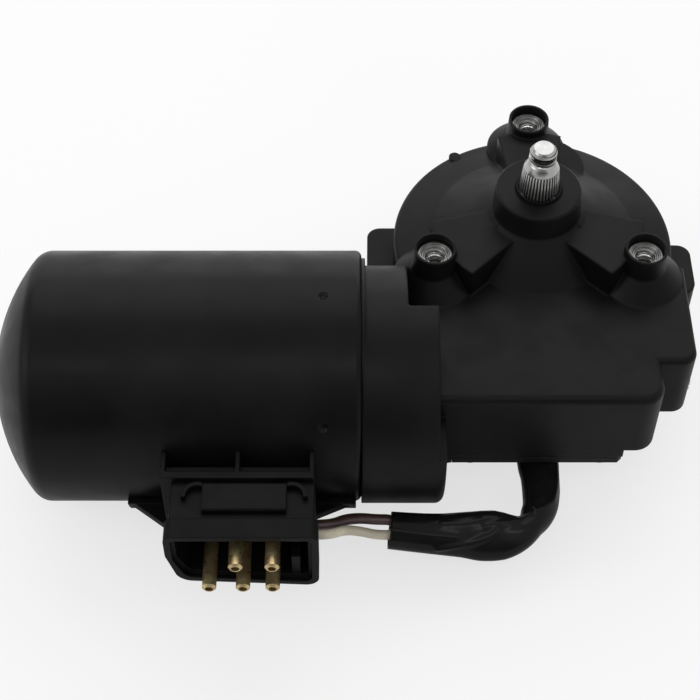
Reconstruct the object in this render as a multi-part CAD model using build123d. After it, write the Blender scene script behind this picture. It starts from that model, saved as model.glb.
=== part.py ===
from build123d import *
import os
from math import atan, cos, degrees, pi, radians, sin, sqrt, tan

# Wiper motor: a drum-shaped worm gearbox with a motor across it and a plug on the motor's side.
# Millimetres. +Z runs up the output shaft and +X runs away from the motor. The origin is the
# centre of the three mounting bosses, on the plane of their faces.

# ---------------------------------------------------------------- driving dimensions
# Mounting bosses
mount_pcd = 70.0
mount_count = 3
mount_first_angle = 90.0
mount_boss_d = 12.1
mount_hole_d = 5.0
mount_hole_depth = 14.0
mount_seat_d = 10.7
mount_seat_depth = 3.8
mount_cone_d = 9.6
mount_cone_depth = 2.0
skirt_d = 24.0
skirt_height = 5.5

# Gear housing: levels under the mounting face
deck_drop = 12.5
ring_edge_drop = 16.0
body_drop = 40.0
boss_face_rise = 6.4
boss_foot_drop = 1.5
rib_drop = 2.6

# Gear housing: plan
drum_clearance = 1.3
drum_wall = 2.8
drum_edge_fillet = 1.6
ring_inner_d = 60.0
rear_cone_arc = 240.0
front_cone_d = 49.4
boss_d = 24.8
boss_foot_d = 26.0
boss_chamfer = 0.4
rib_inner_width = 13.2
rib_outer_width = 23.0
rear_rib_width = 19.2
rib_start = 11.0
rib_reach = 31.7
roof_wall = 4.0
block_left = -30.0
block_right = 33.0
block_front = -62.3
block_corner_r = 6.0
block_edge_fillet = 2.2
block_step_x = 24.0
wing_right = 43.4
wing_front = -48.8
wing_rear = -14.0
wing_floor_drop = 36.5
wing_corner_r = 4.5
wing_edge_fillet = 1.7
block_end_drop = 36.8
lug_overhang = 7.8
lug_top_drop = 26.0
lug_corner_r = 4.0
left_lug_rear = 13.5
right_lug_rear = 6.5
lug_length = 19.0
rear_screw_out = 1.4
pad_d = 24.0
pad_rise = 2.0
pad_place = (5.0, 25.0)
bump_d = 3.6
bump_rise = 1.0
bump_angle = 123.2
web_drop = 7.0
web_r = 2.9

# Collar that carries the motor can
motor_axis_y = -42.0
motor_axis_drop = 28.0
collar_d = 68.8
collar_shift_y = -2.0
collar_shift_z = -1.5
collar_right = -30.2
collar_pocket_right = -38.6
collar_pocket_front = -42.6
collar_pocket_r = 1.0
collar_pocket_drop = 15.0
collar_lip = 2.3
collar_lip_drop = 20.0
collar_fillet = 2.5
collar_bore_d = 57.0
collar_floor_x = -41.5
spigot_length = 6.0
spigot_clearance = 0.2

# Worm gear
gear_module = 1.5
wheel_teeth = 48
worm_pitch_d = 12.0
pressure_angle = 20.0
backlash = 0.2
wheel_width = 12.0
wheel_rim = 4.0
wheel_web = 4.5
wheel_hub_d = 22.0
wheel_ribs = 6
wheel_rib_width = 2.4
worm_length = 24.0

# Output shaft
output_shaft_d = 12.0
running_clearance = 0.03
output_bush_wall = 2.0
output_bush_length = 9.0
seal_wall = 0.6
seal_rise = 0.7
knurl_start = 6.9
knurl_end = 15.0
knurl_foot_d = 11.7
knurl_top_d = 10.4
thread_d = 8.0
thread_start = 17.9
shaft_tip = 23.0
shaft_tip_chamfer = 1.0
shaft_foot_drop = 38.6

# Motor can and magnets
can_d = 72.5
can_wall = 2.0
can_mouth_x = -51.4
can_end_x = -156.4
can_dome_r = 55.0
can_corner_r = 5.0
can_rim_r = 1.4
dimple_count = 6
dimple_from_mouth = 10.6
dimple_d = 3.0
magnet_length = 58.0
magnet_near_x = -75.0
magnet_thickness = 7.4
magnet_arc = 128.0
magnet_gap = 0.1
clip_inset = 6.0
clip_sheet = 0.8

# Armature
armature_shaft_d = 8.0
armature_shaft_right = 30.0
armature_shaft_left = -151.0
core_d = 51.6
core_length = 50.0
core_inset = 4.0
core_slots = 12
core_slot_width = 4.2
core_slot_depth = 10.0
core_slot_mouth = 1.8
core_lip = 1.8
winding_d = 46.0
winding_length = 8.0
commutator_d = 23.0
commutator_bars = 12
commutator_length = 14.0
commutator_near_x = -54.5
commutator_slot = 0.7

# Bearings along the armature
front_bush_d = 16.0
front_bush_length = 8.0
front_bush_right = -24.5
end_bush_d = 14.0
end_bush_left = 19.5
end_bush_length = 6.0
rear_bush_d = 15.0
rear_bush_length = 8.0
rear_bush_left = -149.5
retainer_d = 34.0
retainer_sheet = 1.0
thrust_screw_d = 8.0
thrust_pad_length = 2.0

# Brush gear
brush_plate_d = 66.0
brush_plate_thickness = 2.4
brush_plate_right = -50.6
brush_plate_bore_d = 27.0
brush_width = 7.0
brush_depth = 5.0
brush_length = 12.0
brush_gap = 0.3
brush_angles = (35.0, 155.0, 275.0)
holder_wall = 0.6
holder_length = 16.0
brush_spring_d = 4.2
brush_spring_wire = 0.5
choke_d = 5.0
choke_length = 14.0

# Cover underneath the gears
cover_thickness = 2.5
gasket_thickness = 0.5
cover_left = -25.2
cover_right = 24.0
cover_chamfer = 1.3
cover_screw_d = 4.0
cover_screw_head_d = 8.0
cover_screw_head = 2.6
cover_screw_length = 12.0

# Parking switch
park_disc_inner_d = 34.0
park_disc_outer_d = 62.0
park_disc_thickness = 0.8
carrier_thickness = 2.4
finger_width = 2.6
finger_pitch = 6.0
finger_sheet = 0.5

# Cable outlet, sleeve and leads
outlet_x = 1.2
outlet_front = -52.0
outlet_rear = -38.5
outlet_d = 14.8
outlet_wall = 1.0
grommet_lip = 1.6
sleeve_d = 11.2
lead_d = 2.8
sleeve_route = [
    (1.2, -50.0, -49.9),
    (1.2, -58.6, -49.9),
    (1.1, -67.6, -49.9),
    (0.2, -76.6, -49.9),
    (-5.4, -83.0, -49.8),
    (-14.4, -84.4, -49.2),
    (-24.0, -84.0, -48.3),
    (-33.8, -83.6, -47.1),
    (-43.4, -82.9, -46.2),
]
brown_route = [
    (-43.4, -81.4, -43.8),
    (-47.4, -81.5, -43.6),
    (-51.6, -81.8, -42.4),
    (-56.0, -83.7, -40.2),
    (-60.4, -87.0, -37.8),
    (-64.1, -87.0, -37.8),
]
white_route = [
    (-43.4, -84.9, -46.1),
    (-47.4, -85.0, -45.8),
    (-51.6, -86.2, -42.0),
    (-56.0, -88.1, -38.0),
    (-60.4, -91.3, -35.4),
    (-64.1, -91.3, -35.4),
]
olive_route = [
    (-43.4, -79.5, -46.2),
    (-47.4, -79.6, -46.0),
    (-51.6, -79.5, -45.4),
    (-56.0, -81.0, -43.6),
    (-60.1, -84.4, -41.2),
    (-64.4, -84.4, -41.2),
]

# Connector and the carrier that holds it on the can
plug_center_x = -83.6
plug_width = 41.0
plug_height = 24.8
plug_top_drop = 16.4
plug_mouth_y = -103.8
plug_flange_length = 6.0
plug_flange_step = 1.0
plug_top_step = 1.8
plug_top_r = 2.5
plug_low_r = 3.5
plug_left_r = 5.0
plug_slant = 3.0
plug_left_rise = 2.6
plug_knee_drop = 9.5
plug_rear_y = -85.2
plug_wall = 1.8
plug_floor_y = -90.0
pin_low_x = (-92.6, -83.5, -75.5)
pin_high_x = (-85.0, -75.3)
pin_low_drop = 34.2
pin_high_drop = 23.6
pin_d = 3.9
pin_tip_y = -109.0
pin_rear_y = -86.8
pin_tip_hole_d = 2.2
pin_tip_hole_depth = 2.5
peg_shift = 13.1
peg_width = 2.4
peg_height = 9.0
carrier_center_x = -85.2
carrier_width = 41.6
carrier_cheek = 1.2
carrier_ledge = 2.2
carrier_step = 3.0
carrier_step_drop = 2.5
carrier_saddle = 2.0
carrier_base = 2.4
carrier_foot_left = -117.5
carrier_foot_right = -53.0
carrier_foot_front = -76.6
carrier_neck_y = -85.5
carrier_floor_left = -97.0
carrier_floor_right = -66.0
carrier_gap = 0.1
latch_shift = 0.6
latch_width = 22.6
latch_length = 8.8
latch_thickness = 1.8
latch_front_y = -95.2
hook_reach = 5.6
hook_drop = 4.6
hook_width = 1.3

# ---------------------------------------------------------------- places worked out from those
motor_axis = (0.0, motor_axis_y, -motor_axis_drop)
MOTOR_AXIS = Axis(motor_axis, (1, 0, 0))
can_r = can_d / 2
wheel_pitch_r = gear_module * wheel_teeth / 2
worm_lead = pi * gear_module
drum_d = 2 * (wheel_pitch_r + gear_module + drum_clearance + drum_wall)
lug_reach = drum_d / 2 + lug_overhang
body_bottom = -body_drop
cover_top = body_bottom - gasket_thickness
cover_bottom = cover_top - cover_thickness
outlet_z = sleeve_route[0][2]
boss_angles = [mount_first_angle + 360.0 / mount_count * i for i in range(mount_count)]
cover_screw_places = [
    (-lug_reach + 5.2, left_lug_rear - lug_length / 2),
    (lug_reach - 5.2, right_lug_rear - lug_length / 2),
    (0.0, drum_d / 2 + rear_screw_out),
    (cover_left + 5.5, block_front + 5.2),
    (cover_right - 6.0, block_front + 5.2),
]


def polar(radius, angle):
    """Plan position at a radius and an angle about the output shaft."""
    return (radius * cos(radians(angle)), radius * sin(radians(angle)))


def disc(diameter, bottom, top, center=(0.0, 0.0)):
    """Upright cylinder between two levels."""
    body = Cylinder(diameter / 2, top - bottom, align=(Align.CENTER, Align.CENTER, Align.MIN))
    return Pos(center[0], center[1], bottom) * body


def bar(diameter, left, right, center=(motor_axis[1], motor_axis[2])):
    """Cylinder along X between two stations, on the motor axis unless told otherwise."""
    body = Cylinder(diameter / 2, right - left, align=(Align.CENTER, Align.CENTER, Align.MIN))
    return Pos(left, center[0], center[1]) * Rot(0, 90, 0) * body


def tube_x(outer, inner, left, right):
    """Plain bush along the motor axis."""
    return bar(outer, left, right) - bar(inner, left - 1, right + 1)


def block(x0, x1, y0, y1, z0, z1):
    """Box between six faces."""
    body = Box(x1 - x0, y1 - y0, z1 - z0, align=(Align.MIN, Align.MIN, Align.MIN))
    return Pos(x0, y0, z0) * body


def spun(points, arc=360.0, start=0.0):
    """Solid turned about the output shaft from (radius, height) corners."""
    face = Plane.XZ * make_face(Polyline(*points, close=True))
    return Rot(0, 0, start) * revolve(face, Axis.Z, arc)


def spun_x(points):
    """Solid turned about the motor axis from (station, radius) corners."""
    plane = Plane(origin=motor_axis, x_dir=(1, 0, 0), z_dir=(0, -1, 0))
    face = plane * make_face(Polyline(*points, close=True))
    return revolve(face, MOTOR_AXIS)


def save(node, *solids):
    """Write one node, whose pieces stay separate solids."""
    made = []
    for solid in solids:
        made.extend(solid.solids())
    shape = made[0] if len(made) == 1 else Compound(children=made)
    export_step(shape, "parts/" + node + ".step")


# ---------------------------------------------------------------- gear housing
def drum_body():
    """Round gear case with its sloping top ring and the cones that rise to the shaft boss."""
    edge = drum_d / 2
    inner = ring_inner_d / 2
    foot = boss_foot_d / 2
    drum = spun(
        [(0, body_bottom), (edge, body_bottom), (edge, -ring_edge_drop), (inner, -deck_drop), (0, -deck_drop)]
    )
    outer_edges = [e for e in drum.edges().filter_by(GeomType.CIRCLE) if abs(e.radius - edge) < 0.01]
    drum = fillet(max(outer_edges, key=lambda e: e.center().Z), drum_edge_fillet)
    half_gap = (360.0 - rear_cone_arc) / 2
    rear_cone = spun(
        [(0, -deck_drop), (inner, -deck_drop), (foot, -boss_foot_drop), (0, -boss_foot_drop)],
        rear_cone_arc,
        half_gap - 90.0,
    )
    front_cone = spun(
        [(0, -deck_drop), (front_cone_d / 2, -deck_drop), (foot, -boss_foot_drop), (0, -boss_foot_drop)]
    )
    top = boss_d / 2
    boss = spun(
        [
            (0, -deck_drop),
            (foot, -deck_drop),
            (foot, -boss_foot_drop),
            (top, boss_face_rise - boss_chamfer),
            (top - boss_chamfer, boss_face_rise),
            (0, boss_face_rise),
        ]
    )
    return drum + rear_cone + front_cone + boss


def rib(angle):
    """Fan-shaped rib from the shaft boss towards one mounting boss."""
    half_in = rib_inner_width / 2
    half_out = (rear_rib_width if angle == mount_first_angle else rib_outer_width) / 2
    straight = sqrt(rib_reach**2 - half_out**2)
    sides = Polyline((straight, -half_out), (rib_start, -half_in), (rib_start, half_in), (straight, half_out))
    end = ThreePointArc((straight, half_out), (rib_reach, 0), (straight, -half_out))
    outline = make_face([sides, end])
    return Rot(0, 0, angle) * Pos(0, 0, -deck_drop - 1) * extrude(outline, deck_drop + 1 - rib_drop)


def mounting_boss(angle):
    """Mounting boss standing on a conical skirt, with the column below it."""
    x, y = polar(mount_pcd / 2, angle)
    r = mount_boss_d / 2
    skirt_top = -deck_drop + skirt_height
    skirt = skirt_d / 2
    shape = spun(
        [
            (0, body_bottom),
            (skirt, body_bottom),
            (skirt, -deck_drop),
            (r + 0.5, skirt_top),
            (r, 0),
            (0, 0),
        ]
    )
    return Pos(x, y, 0) * shape


def mounting_hole(angle):
    """Seat, cone and tapping-size hole of one mounting boss."""
    x, y = polar(mount_pcd / 2, angle)
    seat = mount_seat_d / 2
    hole = mount_hole_d / 2
    shape = spun(
        [
            (0, -mount_hole_depth),
            (hole, -mount_hole_depth),
            (hole, -mount_seat_depth - mount_cone_depth),
            (mount_cone_d / 2, -mount_seat_depth),
            (seat, -mount_seat_depth),
            (seat, 1.0),
            (0, 1.0),
        ]
    )
    return Pos(x, y, 0) * shape


def worm_block():
    """Square case around the worm, in front of the drum, with its rounded edges."""
    body = block(block_left, block_right, block_front, -4, -block_end_drop, -deck_drop)
    upright = body.edges().filter_by(Axis.Z).sort_by(Axis.Y)[:2]
    body = fillet(upright.sort_by(Axis.X)[-1], block_corner_r)
    rim = [e for e in body.edges() if abs(e.center().Z + deck_drop) < 0.01]
    rim = [e for e in rim if e.center().Y < block_front + block_corner_r + 0.1]
    body = fillet(rim, block_edge_fillet)
    foot = block(block_left, block_step_x, block_front, -4, body_bottom, -block_end_drop + 1)
    return body + foot


def side_wing():
    """Step on the right that closes the end of the worm shaft."""
    floor = -wing_floor_drop
    body = block(block_right - 12, wing_right, wing_front, wing_rear, floor, -deck_drop)
    corner = body.edges().filter_by(Axis.Z).sort_by(Axis.Y)[:2].sort_by(Axis.X)[-1]
    body = fillet(corner, wing_corner_r)
    rim = [e for e in body.edges() if abs(e.center().Z + deck_drop) < 0.01]
    rim = [e for e in rim if e.center().Y < wing_front + wing_corner_r + 0.1]
    return fillet(rim, wing_edge_fillet)


def side_lug(side, rear):
    """Upright ear beside the drum that takes a cover screw."""
    inner = drum_d / 2 - 8
    x0, x1 = (inner, lug_reach) if side > 0 else (-lug_reach, -inner)
    body = block(x0, x1, rear - lug_length, rear, body_bottom, -lug_top_drop)
    outer = body.edges().filter_by(Axis.Z).sort_by(Axis.X)
    outer = outer[-2:] if side > 0 else outer[:2]
    return fillet(outer, lug_corner_r)


def collar():
    """Round seat of the motor can, lower at the back so that the boss skirt clears it."""
    center = (motor_axis_y + collar_shift_y, -motor_axis_drop + collar_shift_z)
    body = bar(collar_d, can_mouth_x, collar_right + collar_lip, center)
    rim = body.edges().filter_by(GeomType.CIRCLE).sort_by(Axis.X)[-1]
    body = fillet(rim, collar_fillet)
    body -= block(collar_right, 0, -120, 40, -collar_lip_drop, 40)
    pocket = block(collar_pocket_right, 0, collar_pocket_front, 40, -collar_pocket_drop, 40)
    pocket = fillet(pocket.edges().filter_by(Axis.Z).sort_by(Axis.X)[:2], collar_pocket_r)
    spigot = bar(can_d - 2 * can_wall - 2 * spigot_clearance, can_mouth_x - spigot_length, can_mouth_x + 1)
    return body - pocket + spigot + collar_web()


def collar_web():
    """Small cast web with a hollow face, in the corner under the block beside the collar."""
    left = collar_right
    right = cover_left - 0.1
    rear = motor_axis_y - 3.0
    level = body_bottom - cover_thickness - gasket_thickness - web_r
    web = block(left, right, block_front, rear, body_bottom - web_drop, body_bottom + 0.5)
    hollow = Cylinder(web_r, rear - block_front + 2, align=(Align.CENTER, Align.CENTER, Align.MIN))
    web -= Pos(right + 0.1, block_front - 1, level) * Rot(-90, 0, 0) * hollow
    return web - block(right + 0.1 - web_r, right + 1, block_front - 1, rear + 1, body_bottom - web_drop - 1, level)


def deck_pads():
    """Low round pad behind the shaft boss, and the small bump at the rim of the drum."""
    pad = disc(pad_d, -deck_drop - 1, -deck_drop + pad_rise, pad_place)
    bump = disc(bump_d, -ring_edge_drop - 2, -ring_edge_drop + bump_rise, polar((drum_d - bump_d) / 2 + 0.4, bump_angle))
    return pad + bump


def housing_hollows():
    """Everything cast or bored out of the housing."""
    inner = drum_d / 2 - drum_wall
    roof = -deck_drop - roof_wall
    gear_room = spun(
        [
            (0, body_bottom - 1),
            (inner, body_bottom - 1),
            (inner, -ring_edge_drop - roof_wall),
            (ring_inner_d / 2, roof),
            (0, roof),
        ]
    )
    worm_tip = worm_pitch_d / 2 + gear_module
    room_y = worm_tip + 2.5
    worm_room = block(
        front_bush_right,
        end_bush_left - 1.0,
        motor_axis_y - room_y,
        motor_axis_y + room_y,
        body_bottom - 1,
        -motor_axis_drop + worm_tip + 2.5,
    )
    brush_room = bar(collar_bore_d, can_mouth_x - spigot_length - 1, collar_floor_x)
    bush_bore = bar(front_bush_d, front_bush_right - front_bush_length, front_bush_right + 1)
    shaft_way = bar(armature_shaft_d + 3, collar_floor_x - 1, armature_shaft_right + 0.5)
    end_bore = bar(end_bush_d, end_bush_left - 2, end_bush_left + end_bush_length)
    screw_bore = bar(thrust_screw_d, armature_shaft_right, wing_right + 1)
    bush_r = output_shaft_d / 2 + output_bush_wall
    seal_r = output_shaft_d / 2 + seal_wall
    shaft_bore = disc(2 * bush_r, roof - 1, boss_face_rise - seal_room())
    seal_bore = disc(2 * seal_r, roof, boss_face_rise + 1)
    holes = [mounting_hole(angle) for angle in boss_angles]
    for place in cover_screw_places:
        depth = cover_screw_length - cover_thickness - gasket_thickness + 1.5
        holes.append(disc(cover_screw_d, body_bottom - 1, body_bottom + depth, place))
    return [gear_room, worm_room, brush_room, bush_bore, shaft_way, end_bore, screw_bore, shaft_bore, seal_bore, *holes]


def seal_room():
    """Depth of the boss lip that the shaft seal sits in."""
    return 3.0


def gear_housing():
    """Die-cast housing: drum, worm block, wing, lugs, collar, bosses and ribs in one casting."""
    body = drum_body() + worm_block() + side_wing()
    body += side_lug(-1, left_lug_rear)
    body += side_lug(1, right_lug_rear)
    for angle in boss_angles:
        body += rib(angle)
        body += mounting_boss(angle)
    body += collar()
    body += deck_pads()
    for hollow in housing_hollows():
        body -= hollow
    return body


# ---------------------------------------------------------------- cover, gasket, screws
def cover_outline():
    """Plan of the gasket and cover: the drum's circle, the block's rectangle and the screw ears."""
    plan = Circle(drum_d / 2) + Pos(0, 0) * Rectangle(0.1, 0.1)
    width = cover_right - cover_left
    depth = -block_front
    front = Pos((cover_left + cover_right) / 2, block_front / 2) * Rectangle(width, depth)
    corners = front.vertices().sort_by(Axis.Y)[:2]
    front = chamfer(corners.sort_by(Axis.X)[-1], cover_chamfer)
    plan += front
    for x, y in cover_screw_places[:3]:
        plan += Pos(x, y) * Circle(lug_corner_r + 1.0)
        plan += Pos(x * 0.9, y * 0.9) * Rectangle(2 * lug_corner_r, 2 * lug_corner_r)
    clear = collar_right + collar_lip + 0.6
    rear = motor_axis_y + collar_shift_y + collar_d / 2 + 0.6
    return plan - Pos(clear - 50, rear - 50) * Rectangle(100, 100)


def cover_sheet(bottom, top, hole_d):
    """Flat layer in the cover's plan with its screw holes."""
    sheet = Pos(0, 0, bottom) * extrude(cover_outline(), top - bottom)
    for place in cover_screw_places:
        sheet -= disc(hole_d, bottom - 1, top + 1, place)
    return sheet


def gasket():
    """Gasket: the cover's plan with the gear and worm rooms cut out."""
    sheet = cover_sheet(cover_top, body_bottom, cover_screw_d + 0.6)
    sheet -= disc(drum_d - 2 * drum_wall, cover_top - 1, body_bottom + 1)
    worm_tip = worm_pitch_d / 2 + gear_module + 2.5
    room = block(
        cover_left + 4,
        cover_right - 4,
        motor_axis_y - worm_tip,
        motor_axis_y + worm_tip,
        cover_top - 1,
        body_bottom + 1,
    )
    return sheet - room


def gear_cover():
    """Cover with the cable outlet spout moulded under its front."""
    sheet = cover_sheet(cover_bottom, cover_top, cover_screw_d + 0.6)
    spout = spout_bar(outlet_d, outlet_front, outlet_rear)
    spout += block(
        outlet_x - outlet_d / 2,
        outlet_x + outlet_d / 2,
        outlet_front,
        outlet_rear,
        outlet_z,
        cover_bottom + 0.5,
    )
    spout -= block(-40, 40, -80, 0, cover_top, 0)
    bore = spout_bar(outlet_d - 2 * outlet_wall, outlet_front - 1, outlet_rear - outlet_wall)
    lead_way = disc(8.0, outlet_z, cover_top + 1, (outlet_x, outlet_rear - 6.5))
    return sheet + spout - bore - lead_way


def spout_bar(diameter, front, rear):
    """Cylinder along Y on the cable outlet's axis."""
    body = Cylinder(diameter / 2, rear - front, align=(Align.CENTER, Align.CENTER, Align.MIN))
    return Pos(outlet_x, front, outlet_z) * Rot(-90, 0, 0) * body


def cable_grommet():
    """Rubber grommet pushed into the spout, with a lip over its rim."""
    ring = spout_bar(outlet_d - 2 * outlet_wall - 0.1, outlet_front, outlet_rear - 4.0)
    ring += spout_bar(outlet_d - 1.2, outlet_front - grommet_lip, outlet_front)
    return ring - spout_bar(sleeve_d + 0.1, outlet_front - 5, outlet_rear)


def cover_screw(place):
    """Cover screw, driven up from below."""
    x, y = place
    head = disc(cover_screw_head_d, cover_bottom - cover_screw_head, cover_bottom, (x, y))
    head = chamfer(head.edges().filter_by(GeomType.CIRCLE).sort_by(Axis.Z)[0], 0.6)
    shank = disc(cover_screw_d, cover_bottom - 0.5, cover_bottom + cover_screw_length, (x, y))
    slot = Pos(x, y, cover_bottom - cover_screw_head) * Box(cover_screw_head_d, 1.0, 2.0)
    return head + shank - slot


# ---------------------------------------------------------------- output side
def output_bush(bottom):
    """Sintered bush of the output shaft."""
    outer = output_shaft_d + 2 * output_bush_wall
    top = bottom + output_bush_length
    return disc(outer, bottom, top) - disc(output_shaft_d + 2 * running_clearance, bottom - 1, top + 1)


def shaft_seal():
    """Dust seal that stands round the shaft where it leaves the boss."""
    bottom = boss_face_rise - seal_room()
    top = boss_face_rise + seal_rise
    ring = disc(output_shaft_d + 2 * seal_wall - 0.04, bottom, top)
    return ring - disc(output_shaft_d + 2 * running_clearance, bottom - 1, top + 1)


def output_shaft():
    """Output shaft: plain journal, tapered seat for the crank and the end for its nut."""
    r = output_shaft_d / 2
    thread_r = thread_d / 2
    groove = circlip_level()
    return spun(
        [
            (0, -shaft_foot_drop),
            (r - 0.8, -shaft_foot_drop),
            (r, -shaft_foot_drop + 0.8),
            (r, groove - 0.55),
            (r - 0.6, groove - 0.55),
            (r - 0.6, groove + 0.55),
            (r, groove + 0.55),
            (r, knurl_start),
            (knurl_foot_d / 2, knurl_start),
            (knurl_top_d / 2, knurl_end),
            (thread_r, thread_start),
            (thread_r, shaft_tip - shaft_tip_chamfer),
            (thread_r - shaft_tip_chamfer, shaft_tip),
            (0, shaft_tip),
        ]
    )


def circlip_level():
    """Height of the retaining ring's groove, just under the wheel's hub."""
    return -motor_axis_drop - wheel_width / 2 - 1.4


def retaining_ring():
    """Open ring in the shaft's groove, under the wheel."""
    r = output_shaft_d / 2
    level = circlip_level()
    ring = disc(2 * r + 4.4, level - 0.5, level + 0.5) - disc(2 * r - 1.1, level - 1, level + 1)
    return ring - block(0, r + 3, -1.6, 1.6, level - 1, level + 1)


def thrust_washer():
    """Washer between the wheel's hub and the roof of the gear room."""
    top = -deck_drop - roof_wall - 0.3
    bottom = -motor_axis_drop + wheel_width / 2 + hub_rise()
    return disc(output_shaft_d + 9, bottom, top) - disc(output_shaft_d, bottom - 1, top + 1)


def hub_rise():
    """How far the wheel's hub stands above its rim."""
    return 4.2


def wheel_outline(turn):
    """Plan of the toothed rim: straight-flanked teeth with the given turn."""
    tip_r = wheel_pitch_r + gear_module
    root_r = wheel_pitch_r - 1.25 * gear_module
    slope = tan(radians(pressure_angle))
    half_pitch = worm_lead / 4 - backlash / 2
    half_tip = (half_pitch - gear_module * slope) / tip_r
    half_root = (half_pitch + 1.25 * gear_module * slope) / root_r
    points = []
    for tooth in range(wheel_teeth):
        middle = 2 * pi * (tooth + 0.5) / wheel_teeth - pi / 2 + turn
        for offset, radius in ((-half_root, root_r), (-half_tip, tip_r), (half_tip, tip_r), (half_root, root_r)):
            points.append((radius * cos(middle + offset), radius * sin(middle + offset)))
    return make_face(Polyline(*points, close=True))


def worm_wheel():
    """Helical worm wheel with a webbed, ribbed body."""
    lead_slope = worm_lead / (pi * worm_pitch_d)
    half_turn = wheel_width / 2 * lead_slope / wheel_pitch_r
    bottom = -motor_axis_drop - wheel_width / 2
    top = bottom + wheel_width
    teeth = loft(
        [Pos(0, 0, bottom) * wheel_outline(-half_turn), Pos(0, 0, top) * wheel_outline(half_turn)],
        ruled=True,
    )
    rim_r = wheel_pitch_r - 1.25 * gear_module - wheel_rim
    web_top = bottom + wheel_web
    room = disc(2 * rim_r, web_top, top + 1) - disc(wheel_hub_d, web_top - 1, top + 2)
    body = teeth - room
    body += disc(wheel_hub_d, bottom, top + hub_rise())
    for i in range(wheel_ribs):
        rib_bar = block(
            wheel_hub_d / 2 - 1, rim_r + 1, -wheel_rib_width / 2, wheel_rib_width / 2, web_top - 1, top - 1.5
        )
        body += Rot(0, 0, 360.0 / wheel_ribs * i) * rib_bar
    return body - disc(output_shaft_d, bottom - 1, top + hub_rise() + 1)


def park_disc():
    """Contact disc on the wheel's underside, with the gap that stops the wipers."""
    top = -motor_axis_drop - wheel_width / 2
    bottom = top - park_disc_thickness
    ring = disc(park_disc_outer_d, bottom, top) - disc(park_disc_inner_d, bottom - 1, top + 1)
    gap = block(
        0, park_disc_outer_d, -5, 5, bottom - 1, top + 1
    ) - disc(park_disc_outer_d - 12, bottom - 2, top + 2)
    return ring - gap


def contact_carrier():
    """Insulating block on the cover that holds the parking contacts."""
    base = block(-27, -9, -12, 12, cover_top, cover_top + carrier_thickness)
    return fillet(base.edges().filter_by(Axis.Z), 2.0)


def contact_finger(place_y):
    """One sprung finger, from the carrier up to the contact disc."""
    low = cover_top + carrier_thickness
    high = -motor_axis_drop - wheel_width / 2 - park_disc_thickness - 0.1
    half = finger_width / 2
    foot = block(-26, -20, place_y - half, place_y + half, low, low + finger_sheet)
    rise = high - finger_sheet - low
    side = Polyline(
        (-20.0, low),
        (-12.0, low + rise),
        (-10.0, low + rise),
        (-10.0, low + rise + finger_sheet),
        (-12.3, low + rise + finger_sheet),
        (-20.3, low + finger_sheet),
        close=True,
    )
    leaf = Pos(0, place_y + half, 0) * extrude(Plane.XZ * make_face(side), finger_width)
    return foot + leaf


# ---------------------------------------------------------------- worm and armature
def worm_section():
    """Section across the worm: tip arc, straight-rise flanks and root arc."""
    tip_r = worm_pitch_d / 2 + gear_module
    root_r = worm_pitch_d / 2 - 1.25 * gear_module
    slope = tan(radians(pressure_angle))
    half_pitch = worm_lead / 4 - backlash / 2
    tip_angle = (half_pitch - gear_module * slope) / worm_lead * 360.0
    root_angle = (half_pitch + 1.25 * gear_module * slope) / worm_lead * 360.0
    steps = 4
    flank = []
    for i in range(steps + 1):
        share = i / steps
        flank.append(polar(tip_r + (root_r - tip_r) * share, tip_angle + (root_angle - tip_angle) * share))
    mirrored = [(x, -y) for x, y in flank]
    tip = ThreePointArc(mirrored[0], (tip_r, 0), flank[0])
    root = ThreePointArc(flank[-1], (-root_r, 0), mirrored[-1])
    return make_face([tip, Spline(*flank), root, Spline(*mirrored)])


def armature_shaft():
    """Armature shaft with the worm cut on it."""
    start = -worm_length / 2
    plane = Plane(origin=(start, motor_axis[1], motor_axis[2]), x_dir=(0, 1, 0), z_dir=(1, 0, 0))
    turn = 360.0 * worm_length / worm_lead
    section = (plane * Rot(0, 0, -turn / 2) * worm_section()).face()
    worm = Solid.extrude_linear_with_rotation(section, plane.origin, (worm_length, 0, 0), turn)
    root_d = worm_pitch_d - 2.5 * gear_module
    left = bar(armature_shaft_d, armature_shaft_left, start + 0.01)
    right = bar(armature_shaft_d, -start - 0.01, armature_shaft_right)
    print("worm root diameter", root_d, "shaft diameter", armature_shaft_d)
    return left + worm + right


def armature_core():
    """Laminated core with open slots for the windings."""
    right = magnet_near_x - core_inset
    left = right - core_length
    r = core_d / 2
    core = tube_x(core_d, armature_shaft_d, left, right)
    cut = block(left - 1, right + 1, -core_slot_width / 2, core_slot_width / 2, r - core_lip - core_slot_depth, r - core_lip)
    cut += block(left - 1, right + 1, -core_slot_mouth / 2, core_slot_mouth / 2, r - core_lip - 0.1, r + 1)
    for i in range(core_slots):
        core -= Pos(*motor_axis) * Rot(360.0 / core_slots * (i + 0.5), 0, 0) * cut
    return core


def armature_windings():
    """Wire in the slots and the wound heads at both ends of the core."""
    right = magnet_near_x - core_inset
    left = right - core_length
    r = core_d / 2
    outer = winding_d / 2
    inner = r - core_lip - core_slot_depth + 1.0
    depth = winding_length
    heads = spun_x([(right, inner), (right + depth, inner), (right + depth, outer - 5), (right, outer)])
    heads += spun_x([(left, inner), (left - depth, inner), (left - depth, outer - 5), (left, outer)])
    half = core_slot_width / 2 - 0.15
    wire = block(left - 0.5, right + 0.5, -half, half, r - core_lip - core_slot_depth + 0.5, r - core_lip - 0.3)
    for i in range(core_slots):
        heads += Pos(*motor_axis) * Rot(360.0 / core_slots * (i + 0.5), 0, 0) * wire
    return heads


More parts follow.
